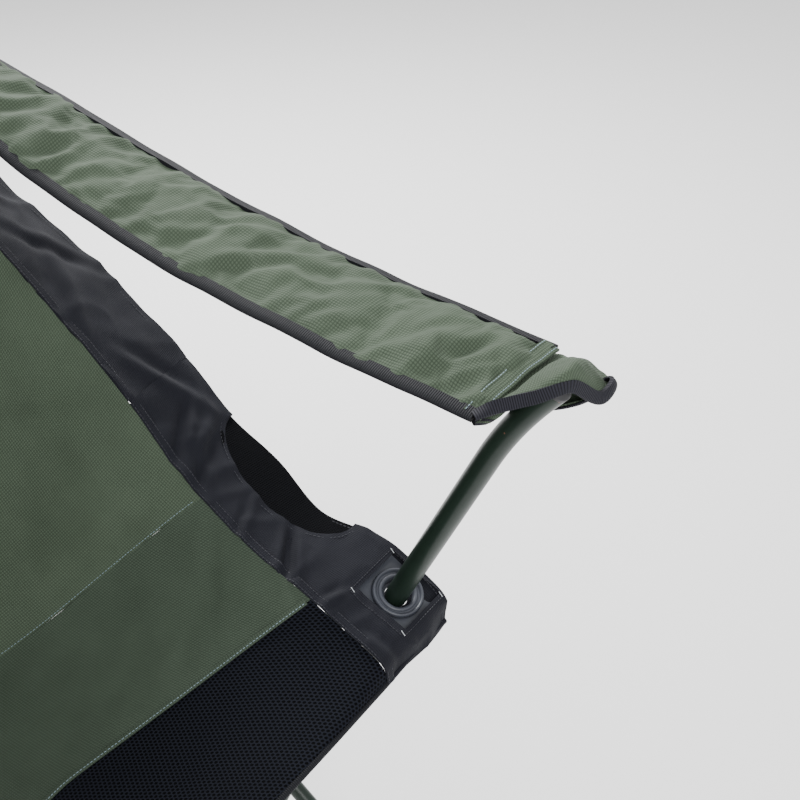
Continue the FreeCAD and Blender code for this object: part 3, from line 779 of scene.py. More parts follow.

# %% [markdown]
# ## The corner plate
# The plate is a thin square moulding with rounded corners. A cube is flattened to its size, the post's
# bore is cut through it, and all its edges get a small radius, as any moulding has. The hole
# under the ring is covered by the ring's flange, so it is left closed except for the post's bore.

# %% Corner plates
for side, word in ((1, "left"), (-1, "right")):
    bpy.ops.object.select_all(action="DESELECT")
    bpy.ops.mesh.primitive_cube_add(size=1, location=(0, 0, -1.25 * MM), scale=(54 * MM, 54 * MM, 2.5 * MM))
    plate = bpy.context.object
    plate.name = "corner_plate_moulded_" + word
    settle(plate)
    bpy.ops.mesh.primitive_cylinder_add(vertices=64, radius=16.6 * MM, depth=20 * MM)
    hole = bpy.context.object
    modify(plate, "BOOLEAN", operation="DIFFERENCE", object=hole, solver="EXACT")
    bpy.data.objects.remove(hole)
    modify(plate, "BEVEL", width=0.6 * MM, segments=2, limit_method="ANGLE")
    settle(plate, plate_frame(side))
    smooth(plate, 40)
    dress(plate, ring_plastic, "grey_plastic", "arm_" + word, "corner_plate_" + word)

# %% [markdown]
# ## Side bands, windows and mesh inserts
# The charcoal bands stiffen the bucket's edges. Each has a square window over the corner plate and
# a half-round insert of fine mesh in its wing. The band is made whole and the openings are cut with
# booleans, which gives clean edges on the curved cloth. The insert is the same cloth surface laid a
# little lower.

# %% Side bands and inserts
def prism(name, outline, low=0.2, high=0.8):
    """An upright prism over an outline in the row frame, as a cutter."""
    verts = [(x, y, low) for x, y in outline] + [(x, y, high) for x, y in outline]
    n = len(outline)
    faces = [tuple(range(n))[::-1], tuple(range(n, 2 * n))]
    faces += [(k, (k + 1) % n, n + (k + 1) % n, n + k) for k in range(n)]
    piece = build(name, verts, faces)
    outward(piece, 1e-7)
    return piece


def insert_outline(side, grow=0.0):
    """Half-round outline of the mesh insert, open at the outer edge."""
    arc = []
    for k in range(25):
        a = math.pi * (0.5 + k / 24)
        x = INSERT_X + (INSERT_HALF_X + grow) * math.cos(a)
        y = INSERT_Y + (INSERT_HALF_Y + grow) * math.sin(a)
        arc.append((side * x * MM, (y + MIDDLE_Y) * MM))
    return arc + [(side * 320 * MM, arc[-1][1]), (side * 320 * MM, arc[0][1])]


def cut(piece, cutter, operation="DIFFERENCE"):
    modify(piece, "BOOLEAN", operation=operation, object=cutter, solver="EXACT")
    bpy.data.objects.remove(cutter)


WINDOW = 50.0         # side of the square window
WINDOW_IN = 3         # how far its middle lies towards the seat
bands = {}
for side, word in ((1, "left"), (-1, "right")):
    lines = wing_folds(side)
    low_v, high_v = sorted((side * 1.0, side * 2.0))
    band = cloth("side_band_cloth_" + word, lambda v: 0.0, lambda v: CREASE, low_v, high_v, 120, 40,
                 lines, 1.6, 2.2, crease=((side * 0.8, -0.3, 0.2), 4.0, 24, 60, 3.1))
    bpy.ops.object.select_all(action="DESELECT")
    bpy.ops.mesh.primitive_cube_add(size=WINDOW * MM, location=(-WINDOW_IN * side * MM, 0, 0))
    window = bpy.context.object
    settle(window, plate_frame(side))
    cut(band, window)
    cut(band, prism("insert_cutter", insert_outline(side)))
    smooth(band, 60)
    insert = cloth("wing_mesh_" + word, lambda v: 2.4, lambda v: 6.4, side * 1.25, side * 1.985, 60, 24,
                   [], 0.5, 9.0, lift=-1.0, thick=0.8)
    cut(insert, prism("insert_keeper", insert_outline(side, 4.0)), "INTERSECT")
    smooth(insert, 60)
    upper = cloth("lower_back_band_cloth_" + word, lambda v: CREASE, lambda v: BACK_START, low_v, high_v,
                  90, 34, lines, 2.0, 2.2, crease=((side * 0.8, 0.3, 0.3), 4.0, 28, 70, 1.1))
    dress(band, charcoal_cloth, "charcoal_cloth", "seat", "side_band_" + word)
    dress(insert, fine_mesh, "black_mesh", "seat", "mesh_inserts")
    dress(upper, charcoal_cloth, "charcoal_cloth", "sling", "sling_band_" + word)
    bands[word] = (band, insert, upper)
    print(band.name, len(band.data.polygons), insert.name, len(insert.data.polygons))

# %% [markdown]
# ## Seams, hems and stitches on the bucket
# The inner seam of a band is a folded tape, sewn down twice. The outer edge and the front edge are
# turned hems. Stitches are tiny bars of thread that sink into the cloth, and they show how the parts
# are joined. They are real geometry, because they catch the light as a row of beads.

# %% Tapes and rows of stitches on the bucket
soft_parts = []


def lay_tape(name, s_values, v_of, folds, half, material, slot, body, lift=0.5, thick=0.7):
    """A flat tape on the bucket, with its path and normals."""
    path, normals = surface_path(s_values, v_of, folds)
    side = path_frame(path, normals)
    piece = swept_section(name, path + normals * lift * MM, side, normals, ribbon(half, thick))
    dress(piece, material, slot, body)
    return piece, path, normals, side


def row_of(name, path, normals, side, shift, lift, body, colour=None, pitch=3.4, length=2.5, thick=0.6):
    """A row of stitches beside a path."""
    return stitches(name, path + side * shift * MM, normals, pitch, length, thick, colour or dark_thread,
                    "thread", body, lift)


for side, word in ((1, "left"), (-1, "right")):
    folds_here = wing_folds(side)
    for label, s0, s1, body in (("seat", 0.05, 6.98, "seat"), ("lower_back", 7.02, 10.98, "sling"),
                                ("back", 11.02, 14.8, "rear_left" if side > 0 else "rear_right")):
        steps = np.linspace(s0, s1, int((s1 - s0) * 16))
        tape, path, normals, across = lay_tape(
            "seam_tape_%s_%s" % (label, word), steps, lambda s: side * 1.045,
            folds_here, 4.2, charcoal_cloth, "charcoal_cloth", body)
        soft_parts.append(tape)
        for k in (-1, 1):
            soft_parts.append(row_of("seam_stitches_%s_%s_%d" % (label, word, k), path, normals, across,
                                     k * 2.9, 1.45, body))
    for label, s0, s1, count, body in (("outer", 0.1, 3.75, 60, "seat"), ("upper", 6.35, 10.9, 70, "sling")):
        path, normals = surface_path(np.linspace(s0, s1, count), lambda s: side * 1.985, folds_here)
        soft_parts.append(row_of(label + "_hem_stitches_" + word, path, normals, path_frame(path, normals),
                                 -side * 5.0, 0.25, body))

    # the curved seam round the mesh insert
    wide, long = INSERT_HALF_X + INSERT_SEAM, INSERT_HALF_Y + INSERT_SEAM
    arc = [(INSERT_X + wide * math.cos(a), INSERT_Y + long * math.sin(a))
           for a in np.pi * (0.5 + np.arange(60) / 59)]
    band_points = [(s, v, sling(s, side * v))
                   for s in np.linspace(2.2, 6.6, 56) for v in np.linspace(1.1, 2.0, 31)]
    seam, seam_n = [], []
    for x, y in arc:
        _, s, v = min((abs(p[0] * side - x * MM) + abs(p[1] - (y + MIDDLE_Y) * MM), s, v)
                      for s, v, p in band_points)
        seam.append(sling(s, side * v))
        n = sling_normal(s, side * v)
        seam_n.append(n if n[2] > 0 else -n)
    seam, seam_n = np.array(seam), np.array(seam_n)
    for _ in range(6):
        seam[1:-1] = (seam[:-2] + 2 * seam[1:-1] + seam[2:]) / 4
    heights = fold_heights(seam[None], seam_n[None], folds_here)[0]
    seam = seam + seam_n * heights[:, None]
    soft_parts.append(row_of("insert_stitches_" + word, seam, seam_n, path_frame(seam, seam_n),
                             0.0, 0.6, "seat"))


def cross_line(line, lift, folds, span=0.985, count=130):
    """A line across the bucket at station line(v)."""
    vs = np.linspace(-span, span, count)
    path = np.array([sling(line(v), v) for v in vs])
    normals = np.array([sling_normal(line(v), v) for v in vs])
    normals[normals[:, 2] < 0] *= -1
    height = fold_heights(path[None], normals[None], folds)[0] + lift * MM
    return path + normals * height[:, None], normals


path, normals = cross_line(lambda v: mesh_line(v) + 0.02, 0.6, folds)
across = path_frame(path, normals)
fold_edge = swept_section("mesh_seam_fold", path, across, normals, ribbon(2.6, 0.9))
# The fold takes the seat's darker copy of the green: painted shade.
dress(fold_edge, seat_cloth_painted_shade, "green_cloth", "seat")
soft_parts += [fold_edge, row_of("mesh_seam_stitches", path, normals, across, 0.9, 1.4, "seat",
                                 thread, 3.2, 2.2, 0.5)]
path, normals = cross_line(lambda v: crease_line(v) + 0.03, 0.3, folds)
across = path_frame(path, normals)
soft_parts.append(row_of("crease_stitches", path, normals, across, 0.0, 0.5, "sling", thread, 3.2, 2.2, 0.45))

# %% [markdown]
# ## Front hem
# The mesh is finished at the front with a rolled hem over a cord, a thin black roll that runs from
# corner to corner. The same roll closes the front of the bands.

# %% Front hem
for label, v0, v1 in (("middle", -1.0, 1.0), ("left", 1.0, 1.99), ("right", -1.99, -1.0)):
    vs = np.linspace(v0, v1, 120 if label == "middle" else 40)
    path = np.array([sling(0.12, v) for v in vs])
    normals = np.array([sling_normal(0.15, v) for v in vs])
    normals[normals[:, 2] < 0] *= -1
    across = path_frame(path, normals)
    roll = [(2.6 * math.cos(k * math.pi / 6), 2.4 * math.sin(k * math.pi / 6) - 0.6) for k in range(12)]
    hem = swept_section("front_hem_" + label, path, across, normals, roll)
    dress(hem, webbing if label == "middle" else charcoal_cloth,
          "webbing" if label == "middle" else "charcoal_cloth", "seat")
    soft_parts.append(hem)

# %% [markdown]
# ## The corner pocket
# The plate sits in a pocket between the band and a second layer of cloth below it, which the post
# passes through. The window's edge is turned under and sewn round, and a pale bar-tack locks each of
# its corners.

# %% Corner pockets, window stitches and bar-tacks
for side, word in ((1, "left"), (-1, "right")):
    low_v, high_v = sorted((side * 1.05, side * 1.985))
    pocket = cloth("corner_pocket_" + word, lambda v: 0.2, lambda v: 3.9, low_v, high_v, 40, 30, [], 0.3, 4.4,
                   lift=-1.6, belly=-9.0)
    bpy.ops.object.select_all(action="DESELECT")
    bpy.ops.mesh.primitive_cylinder_add(vertices=48, radius=10.4 * MM, depth=80 * MM)
    bore = bpy.context.object
    settle(bore, plate_frame(side))
    cut(pocket, bore)
    smooth(pocket, 60)
    dress(pocket, charcoal_cloth, "charcoal_cloth", "seat")
    soft_parts.append(pocket)
    place = plate_frame(side)
    band = bands[word][0]
    tree = band.evaluated_get(bpy.context.evaluated_depsgraph_get())
    up = (place.to_3x3() @ Vector((0, 0, 1))).normalized()

    def on_band(x, y):
        """Point of the band's top above (x, y) of the plate, in mm, and the normal there."""
        start = place @ Vector(((x - WINDOW_IN * side) * MM, y * MM, 0.05))
        hit, spot, normal, _ = tree.ray_cast(start, -up)
        if not hit:
            return None, None
        return np.array(spot), np.array(normal if normal.dot(up) > 0 else -normal)

    reach = WINDOW / 2 + 3.5
    turns = [(-reach, -reach), (reach, -reach), (reach, reach), (-reach, reach), (-reach, -reach)]
    outline = [(x0 + (x1 - x0) * k / 20, y0 + (y1 - y0) * k / 20)
               for (x0, y0), (x1, y1) in zip(turns, turns[1:]) for k in range(20)] + turns[-1:]
    spots = [on_band(x, y) for x, y in outline]
    runs, run = [], []
    for spot in spots:
        if spot[0] is None:
            runs, run = runs + [run], []
        else:
            run.append(spot)
    for k, run in enumerate([r for r in runs + [run] if len(r) > 3]):
        path, normals = np.array([r[0] for r in run]), np.array([r[1] for r in run])
        soft_parts.append(stitches("window_stitches_%s_%d" % (word, k), path, normals, 3.2, 2.4, 0.55,
                                   dark_thread, "thread", "seat", 0.25))
    for k, (a, b) in enumerate(((-1, -1), (1, -1), (1, 1), (-1, 1))):
        spot, normal = on_band(a * (WINDOW / 2 + 1.6), b * (WINDOW / 2 + 1.6))
        if spot is None:
            continue
        turn = np.array(place.to_3x3() @ Vector((-0.2 * side, -1, -0.15)).normalized())
        bar = np.array([spot + turn * t * MM for t in (-2.8, -1.0, 1.0, 2.8)])
        soft_parts.append(stitches("bar_tack_%s_%d" % (word, k), bar, np.array([normal] * 4), 1.2, 1.5, 0.7,
                                   pale_thread, "thread", "seat", 0.4))

# %% [markdown]
# ## The back's sleeves
# The side bands of the back end in sleeves that slip over the leaning back posts, closed at the top.
# A sleeve is a tube of cloth a little wider than the post, so that it wrinkles across.

# %% Back bands and sleeves
POST_LEAN = math.radians(16)
POST_DIR = Vector((0, math.sin(POST_LEAN), math.cos(POST_LEAN)))
BEND_Z, BEND_RADIUS, TOP_LENGTH = 650, 80, 290    # the back post's bend and the run above it
POST_TIP = at(260, 260 + BEND_RADIUS * (1 - math.cos(POST_LEAN)) + TOP_LENGTH * math.sin(POST_LEAN),
              BEND_Z + BEND_RADIUS * math.sin(POST_LEAN) + TOP_LENGTH * math.cos(POST_LEAN))
for side, word in ((1, "left"), (-1, "right")):
    body = "rear_left" if side > 0 else "rear_right"
    low_v, high_v = sorted((side * 1.0, side * 2.06))
    flap = cloth("back_band_cloth_" + word, lambda v: BACK_START, lambda v: TOP, low_v, high_v, 90, 24,
                 wing_folds(side), 1.2, 6.1)
    tip = Vector((POST_TIP.x * side, POST_TIP.y, POST_TIP.z))
    rows, around = 90, 40
    grid = np.empty((rows, around + 1, 3))
    for i in range(rows):
        t = i / (rows - 1)
        along = -236 + t * 249
        close = min(1.0, math.sqrt(max(1 - ((along + 1) / 13.0) ** 2, 0.02))) if along > -1 else 1.0
        for j in range(around + 1):
            turn = 2 * math.pi * j / around
            cos, sin = math.cos(turn), math.sin(turn)
            wrinkle = noise.fractal(Vector((cos * 0.9, sin * 0.9, along * 0.045)), 0.8, 2.0, 3)
            r = (13.6 + 1.1 * wrinkle) * close
            side_way = Vector((cos, sin * math.cos(POST_LEAN), -sin * math.sin(POST_LEAN)))
            grid[i, j] = tip + POST_DIR * along * MM + side_way * r * MM
    sleeve = grid_piece("back_sleeve_cloth_" + word, grid)
    modify(sleeve, "SOLIDIFY", thickness=1.0 * MM, offset=-1)
    outward(sleeve, 1e-6)
    smooth(sleeve, 60)
    dress(flap, charcoal_cloth, "charcoal_cloth", body, "back_sleeve_" + word)
    dress(sleeve, charcoal_cloth, "charcoal_cloth", body)
    bands[word] += (flap, sleeve)
    path, normals = surface_path(np.linspace(11.4, 14.9, 60), lambda s: side * 1.93, wing_folds(side))
    across = path_frame(path, normals)
    soft_parts.append(row_of("sleeve_stitches_" + word, path, normals, across, 0.0, 0.3, body))

path = np.array([sling(TOP - 0.12, v) for v in np.linspace(-1.9, 1.9, 140)])
normals = np.array([sling_normal(TOP - 0.15, v) for v in np.linspace(-1.9, 1.9, 140)])
normals[normals[:, 1] > 0] *= -1
across = path_frame(path, normals)
top_hem = swept_section("back_top_hem", path, across, normals,
                        [(-7, 0.4), (-7, 1.4), (5, 1.6), (6.4, 0.6), (6.4, -1.4), (5, -2.4), (-7, -2.2),
                         (-7, -1.2)])
dress(top_hem, charcoal_cloth, "charcoal_cloth", "rear_left")
soft_parts += [top_hem, row_of("top_hem_stitches", path, normals, across, -5.2, 1.7, "rear_left")]
print("back and seams", len(soft_parts))

# %% [markdown]
# ## Armrests
# Each armrest is a flat tube of green cloth with wadding inside, bound with webbing along both edges.
# It is longer than its edges, so it puffs up and wrinkles across. The closed form is a lens-shaped
# grid. A short cloth simulation, with its edges held and a little pressure inside, lets the cloth
# find its own wrinkles, and a few drawn folds add the long diagonal ones of a filled sleeve.

# %% Armrest form
ARM_BAND = [(-364, 668, 55, 268), (-302, 671, 55, 268), (-222, 676, 55, 268), (-122, 687, 55, 268),
            (-32, 702, 54, 268), (50, 722, 51, 267), (123, 745, 46, 265), (196.5, 768, 38, 262),
            (262, 788, 30, 260)]
PAD_MARKS = np.array(ARM_BAND, float)


def pad_point(t, w, up):
    """Point of the left armrest: t along from 0 to 8, w across from -1 to 1, up 1 top or -1 bottom."""
    y, z, half, cx = through(PAD_MARKS, t)
    ends = min(1.0, 4.0 * (t + 0.06), 3.0 * (8.06 - t))
    bulge = (1 - abs(w) ** 2.4) * (7.5 if up > 0 else 5.0) * ends ** 0.5
    return np.array([cx + half * w, y + MIDDLE_Y, z - 7.5 + up * (bulge + 0.6)]) * MM


def pad_grid(up, rows, cols):
    return np.array([[pad_point(8 * i / (rows - 1), -1 + 2 * j / (cols - 1), up) for j in range(cols)]
                     for i in range(rows)])


PAD_ROWS, PAD_COLS = 150, 31
upper, lower = pad_grid(1, PAD_ROWS, PAD_COLS), pad_grid(-1, PAD_ROWS, PAD_COLS)
normals = grid_normals(upper)
if normals[75, 15, 2] < 0:
    normals = -normals
pad_folds = []
for k, (t, w0, w1, slant, h, wide) in enumerate([
        (0.42, -0.7, 0.5, 0.5, -2.6, 6), (0.75, -0.9, 0.3, 0.7, 2.4, 7), (1.15, -0.5, 0.8, 0.8, -2.8, 7),
        (1.55, -0.9, 0.2, 0.6, 2.0, 6), (1.95, -0.2, 0.9, 0.9, 2.4, 8), (2.4, -0.9, 0.4, 0.7, -2.4, 7),
        (2.8, -0.6, 0.8, 0.8, 2.2, 7), (3.2, -0.9, 0.0, 0.5, -1.8, 6), (3.6, -0.3, 0.9, 0.7, 2.0, 8),
        (4.2, -0.8, 0.5, 0.6, -2.0, 8), (4.9, -0.5, 0.8, 0.6, 1.8, 8), (5.6, -0.8, 0.5, 0.5, -1.6, 8),
        (6.4, -0.6, 0.7, 0.5, 1.6, 8), (7.2, -0.7, 0.6, 0.4, -1.4, 7)]):
    pad_folds.append((pad_point(t + slant, w0, 1), pad_point(t, w1, 1), h, wide))
held = np.clip((0.90 - np.abs(np.linspace(-1, 1, PAD_COLS))) / 0.22, 0, 1)[None, :]
held = held * held * (3 - 2 * held)
height = 1.2 * fold_heights(upper, normals, pad_folds) + ripple(upper, 1.6, 22.0, seed=2.2)
height = height + creases(upper, (0.85, -0.55, 0), 7.5, 26, 85, 0.7)
height = height + creases(upper, (0.95, -0.3, 0), 2.6, 12, 45, 5.7) - 2.5 * MM
upper = upper + normals * (height * held)[..., None]


def pad_mesh(name, top, bottom):
    """Closed form from an upper and a lower grid that share their long edges and ends."""
    rows, cols = top.shape[:2]
    n = rows * cols
    faces = []
    for i in range(rows - 1):
        for j in range(cols - 1):
            a, b, c, d = i * cols + j, i * cols + j + 1, (i + 1) * cols + j + 1, (i + 1) * cols + j
            faces += [(a, b, c, d), (n + d, n + c, n + b, n + a)]
    rim = [(0, j) for j in range(cols)] + [(i, cols - 1) for i in range(1, rows)]
    rim += [(rows - 1, j) for j in range(cols - 2, -1, -1)] + [(i, 0) for i in range(rows - 2, 0, -1)]
    for (i, j), (k, m) in zip(rim, rim[1:] + rim[:1]):
        a, b = i * cols + j, k * cols + m
        faces.append((b, a, n + a, n + b))
    piece = build(name, np.vstack([top.reshape(-1, 3), bottom.reshape(-1, 3)]), faces)
    along = np.concatenate([[0], np.cumsum(np.linalg.norm(np.diff(top[:, cols // 2], axis=0), axis=1))])
    across = (top[:, :, 0] - top[:, cols // 2:cols // 2 + 1, 0])
    lay_uv(piece, np.tile(across.ravel(), 2), np.tile(np.repeat(along, cols), 2))
    edit_all(piece)
    bpy.ops.mesh.normals_make_consistent(inside=False)
    bpy.ops.object.mode_set(mode="OBJECT")
    return piece


pad = pad_mesh("arm_pad_cloth_left", upper, lower)
print("armrest form", len(pad.data.vertices))

# %% [markdown]
# ## Letting the armrest settle
# The simulation runs for twenty frames with gravity off, the edges pinned and the cloth grown by a few
# per cent. How far any point may move is capped, so that the form stays what was drawn.

# %% Cloth simulation of the armrest
def let_settle(piece, pinned, pressure, grow, frames=20, cap=5.0):
    """Runs a cloth simulation on a piece and keeps the result, moved at most cap mm."""
    group = piece.vertex_groups.new(name="held")
    group.add([int(k) for k in pinned], 1.0, "REPLACE")
    before = np.array([v.co for v in piece.data.vertices])
    only(piece)
    sim = piece.modifiers.new("Cloth", "CLOTH")
    sim.settings.quality = 6
    sim.settings.mass = 0.25
    sim.settings.tension_stiffness = sim.settings.compression_stiffness = 18
    sim.settings.bending_stiffness = 0.4
    sim.settings.use_pressure = True
    sim.settings.uniform_pressure_force = pressure
    sim.settings.shrink_min = -grow
    sim.settings.vertex_group_mass = "held"
    sim.settings.effector_weights.gravity = 0
    sim.collision_settings.use_collision = False
    sim.collision_settings.use_self_collision = False
    sim.point_cache.frame_start, sim.point_cache.frame_end = 1, frames
    for f in range(1, frames + 1):
        bpy.context.scene.frame_set(f)
    bpy.ops.object.modifier_apply(modifier=sim.name)
    after = np.array([v.co for v in piece.data.vertices])
    move = after - before
    far = np.linalg.norm(move, axis=1)
    move *= np.minimum(1.0, cap * MM / np.maximum(far, 1e-9))[:, None]
    piece.data.vertices.foreach_set("co", (before + move).ravel())
    piece.data.update()
    bpy.context.scene.frame_set(1)
    print(piece.name, "moved up to", round(float(far.max()) * 1000, 2), "mm")


n = PAD_ROWS * PAD_COLS
index = np.arange(n).reshape(PAD_ROWS, PAD_COLS)
edge = np.concatenate([index[:, :2].ravel(), index[:, -2:].ravel(), index[:2].ravel(), index[-2:].ravel()])
let_settle(pad, np.concatenate([edge, edge + n]), pressure=3.0, grow=0.05)
modify(pad, "SUBSURF", levels=1, render_levels=1)
smooth(pad, 80)

# %% [markdown]
# ## Mirrored armrest, webbing and front seam
# The right armrest is the left one mirrored. The webbing is folded over both edges, and at the front
# two rows of stitches close the pad, with a narrow folded strip between them.

# %% Right armrest, bindings and front seam
def mirrored(piece, name):
    """A copy of a piece mirrored to the other side of the chair."""
    twin = piece.copy()
    twin.data = piece.data.copy()
    twin.name = twin.data.name = name
    bpy.context.scene.collection.objects.link(twin)
    for vertex in twin.data.vertices:
        vertex.co.x = -vertex.co.x
    twin.data.flip_normals()
    return twin


def edge_binding(name, path, side, up, reach=9.5, half=1.5):
    """A tape folded over an edge. side points past the edge."""
    top = [(-reach, half - 0.8), (-reach, half), (-reach * 0.5, half + 0.35), (0.2, half + 0.1),
           (1.3, half * 0.5)]
    return swept_section(name, path, side, up, top + [(a, -b) for a, b in reversed(top)])


def line_of(t_values, w, lift=0.0):
    return np.array([(pad_point(t, w, 1) + pad_point(t, w, -1)) / 2 + [0, 0, lift * MM] for t in t_values])


arm_pieces = [pad]
steps = np.linspace(-0.02, 8.0, 170)
for label, w in (("outer", 1), ("inner", -1)):
    path = line_of(steps, w)
    path[:, 2] += np.array([noise.noise(Vector((p[1] * 22, w * 3.0, 0.5))) for p in path]) * 1.6 * MM
    run = np.gradient(path, axis=0)
    run /= np.linalg.norm(run, axis=1, keepdims=True)
    out = np.tile([float(w), 0, 0], (len(path), 1))
    out = out - run * np.sum(out * run, axis=1, keepdims=True)
    out[:, 2] -= 0.30
    out /= np.linalg.norm(out, axis=1, keepdims=True)
    up = np.cross(out, run) * -w
    binding = edge_binding("arm_webbing_%s_left" % label, path, out, up)
    dress(binding, webbing, "webbing", "arm_band_left")
    sewn = stitches("arm_webbing_stitches_%s_left" % label, path - out * 7.6 * MM, up, 3.0, 2.3, 0.5,
                    dark_thread, "thread", "arm_band_left", 1.75)
    arm_pieces += [binding, sewn]

ws = np.linspace(-0.93, 0.93, 60)
front = np.array([pad_point(0.02, w, 1) + [0, 0, 0.6 * MM + 0.5 * MM * math.sin(9 * w)] for w in ws])
front_up = np.tile([0.0, -0.25, 0.97], (len(ws), 1))
front_side = path_frame(front, front_up)
strip = swept_section("arm_seam_strip_left", front, front_side, front_up,
                      [(-7, -0.8), (-6.6, 0.9), (-3.4, 0.5), (0, 1.5), (3.4, 0.5), (6.6, 0.9), (7, -0.8)])
dress(strip, green_cloth, "green_cloth", "arm_band_left")
arm_pieces.append(strip)
for k, shift in enumerate((-5.2, 4.6)):
    arm_pieces.append(stitches("arm_seam_stitches_%d_left" % k, front + front_side * shift * MM, front_up,
                               3.0, 2.3, 0.6, thread, "thread", "arm_band_left", 1.15))
dress(pad, green_cloth, "green_cloth", "arm_band_left", "arm_pad_left")

# %% [markdown]
# ## The hoods over the post tips
# The front of an armrest is a small pocket that slips over the end of the bent arm post. Its top layer
# rises steeply from the mouth over the tube and rolls down to the outer side, and a lower layer comes
# back under it towards the tube. The mouth is bound with ribbed tape. The pocket is lofted between
# three lines: the mouth, the outer side and the lower rim.

# %% Hood surface and binding
MOUTH = [(213, -356, 663), (224, -364, 665), (232, -369, 665), (239, -376, 667), (244, -384, 670),
         (250, -391, 674), (256, -396, 676), (262, -399, 675), (269, -402, 669), (278, -406, 660),
         (287, -410, 656), (297, -411, 658), (306, -409, 660)]
OUTER = [(325, -346, 653), (325, -352, 653), (324, -358, 654), (323, -364, 654), (322, -370, 655),
         (321, -375, 655), (320, -380, 655), (318, -385, 656), (317, -390, 656), (316, -394, 657),
         (315, -397, 657), (313, -400, 658), (311, -403, 659)]
LOWER = [(215, -354, 657), (226, -356, 652), (236, -354, 647), (245, -350, 643), (254, -347, 641),
         (262, -347, 640), (270, -350, 639), (276, -360, 638), (281, -372, 638), (287, -383, 641),
         (292, -391, 645), (296, -397, 650), (301, -404, 656)]
HOOD = (np.array([MOUTH, OUTER, LOWER], float) + [0, MIDDLE_Y - 12, 0]) * MM
HUMP = [1.0, 4.0, 9.0, 13.0, 16.0, 18.0, 18.5, 16.0, 12.0, 8.0, 5.0, 3.0, 1.0]


def hood_point(t, w):
    """t is 0..12 towards the tip; w is 0 at the mouth, 1 at the outer side, 2 at the lower rim."""
    mouth, outer, lower = (through(HOOD[k], t) for k in range(3))
    if w <= 1:
        p = mouth * (1 - w) + outer * w
        p[2] += through(np.array(HUMP), t) * math.sin(math.pi * w ** 0.6) ** 0.6 * MM
    else:
        k = w - 1
        p = outer * (1 - k) + lower * k
        p[2] -= 5 * MM * math.sin(math.pi * k)
    return p


hood_rows, hood_cols = 60, 84
grid = np.array([[hood_point(12 * i / (hood_rows - 1), 2 * j / (hood_cols - 1)) for j in range(hood_cols)]
                 for i in range(hood_rows)])
normals = grid_normals(grid)
if normals[20, 20, 2] < 0:
    normals = -normals
hood_folds = [(hood_point(*a), hood_point(*b), h, w) for a, b, h, w in (
    ((0.6, 0.2), (2.2, 0.9), -3.0, 5), ((2.4, 0.2), (4.4, 0.8), 2.0, 6),
    ((1.4, 0.5), (5.5, 0.9), -2.0, 5), ((6.5, 0.35), (10.0, 0.6), 1.6, 6))]
height = fold_heights(grid, normals, hood_folds) + ripple(grid, 1.2, 34.0, seed=5.5)
hood = grid_piece("arm_hood_cloth_left", grid + normals * height[..., None])
modify(hood, "SOLIDIFY", thickness=1.4 * MM, offset=-1 if grid_faces_up(hood) else 1)
smooth(hood, 70)
dress(hood, green_cloth, "green_cloth", "arm_left", "arm_hood_left")


def bind(name, places, reach, half):
    """A tape folded over the hood's edge along places (t, w, step towards the cloth)."""
    path, side = [], []
    for t, w, step in places:
        p = hood_point(t, w)
        inner = hood_point(t, w + step) if step else hood_point(11.6, w)
        path.append(p)
        side.append((p - inner) / np.linalg.norm(p - inner))
    path, side = np.array(path), np.array(side)
    for _ in range(6):
        path[1:-1] = (path[:-2] + path[1:-1] * 2 + path[2:]) / 4
        side[1:-1] = (side[:-2] + side[1:-1] + side[2:]) / 3
    run = np.gradient(path, axis=0)
    run /= np.linalg.norm(run, axis=1, keepdims=True)
    side = side - run * np.sum(side * run, axis=1, keepdims=True)
    side /= np.linalg.norm(side, axis=1, keepdims=True)
    tape = edge_binding(name, path, side, np.cross(run, side), reach=reach, half=half)
    return dress(tape, hood_tape, "webbing", "arm_left")


mouth = [(12 * k / 60, 0.0, 0.05) for k in range(61)] + [(12.0, 2.0 * k / 10, 0) for k in range(1, 4)]
rim = [(12 * k / 60, 2.0, -0.05) for k in range(61)]
hood_pieces = [hood, bind("hood_binding_left", mouth, 8.0, 1.5), bind("hood_rim_left", rim, 3.0, 1.0)]

right_pieces = []
for piece in arm_pieces + hood_pieces:
    twin = mirrored(piece, piece.name.replace("_left", "_right"))
    body = "arm_band_right" if piece in arm_pieces else "arm_right"
    for key in [k for k in twin.keys() if k.startswith("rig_")]:
        del twin[key]
    twin.parent = None
    stands = {"arm_pad_cloth_right": ["arm_pad_right"], "arm_hood_cloth_right": ["arm_hood_right"]}
    dress(twin, piece.data.materials[0], piece["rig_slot"], body, *stands.get(twin.name, []))
    right_pieces.append(twin)
print("armrest pieces", len(arm_pieces) + len(hood_pieces) + len(right_pieces))

# %% [markdown]
# ## Loops on the back posts
# The back end of each armrest is sewn to a webbing loop round the back post, just above its bend.

# %% Post loops
for side, word in ((1, "left"), (-1, "right")):
    centre = Vector((side * 260 * MM, POST_TIP.y, POST_TIP.z)) - POST_DIR * 178 * MM
    loop = turned("arm_loop_" + word, [(11.3, -14), (12.9, -14), (13.3, -7), (13.1, 0), (13.3, 7), (12.9, 14),
                                       (11.3, 14)], 48)
    settle(loop, turned_to(centre, POST_DIR))
    dress(loop, webbing, "webbing", "rear_left" if side > 0 else "rear_right")
    turns = np.array([math.atan2(v.co.y - centre.y, v.co.x - centre.x) for v in loop.data.vertices])
    lay_uv(loop, np.array([v.co.z for v in loop.data.vertices]), turns * 12 * MM)

# %% [markdown]
# ## Crossed poles
# The eight crossed poles are all alike: a steel tube whose ends are pressed flat and rounded, with a
# hole for the pin, and one hole in the middle. One is made from a circle, extruded along and squeezed
# at the ends, then copied, each copy with its own mesh.

# %% Crossed poles
SPAN, RISE, REACH = 460.0, 322.0, 20.0
POLE_LENGTH = math.hypot(SPAN, RISE)


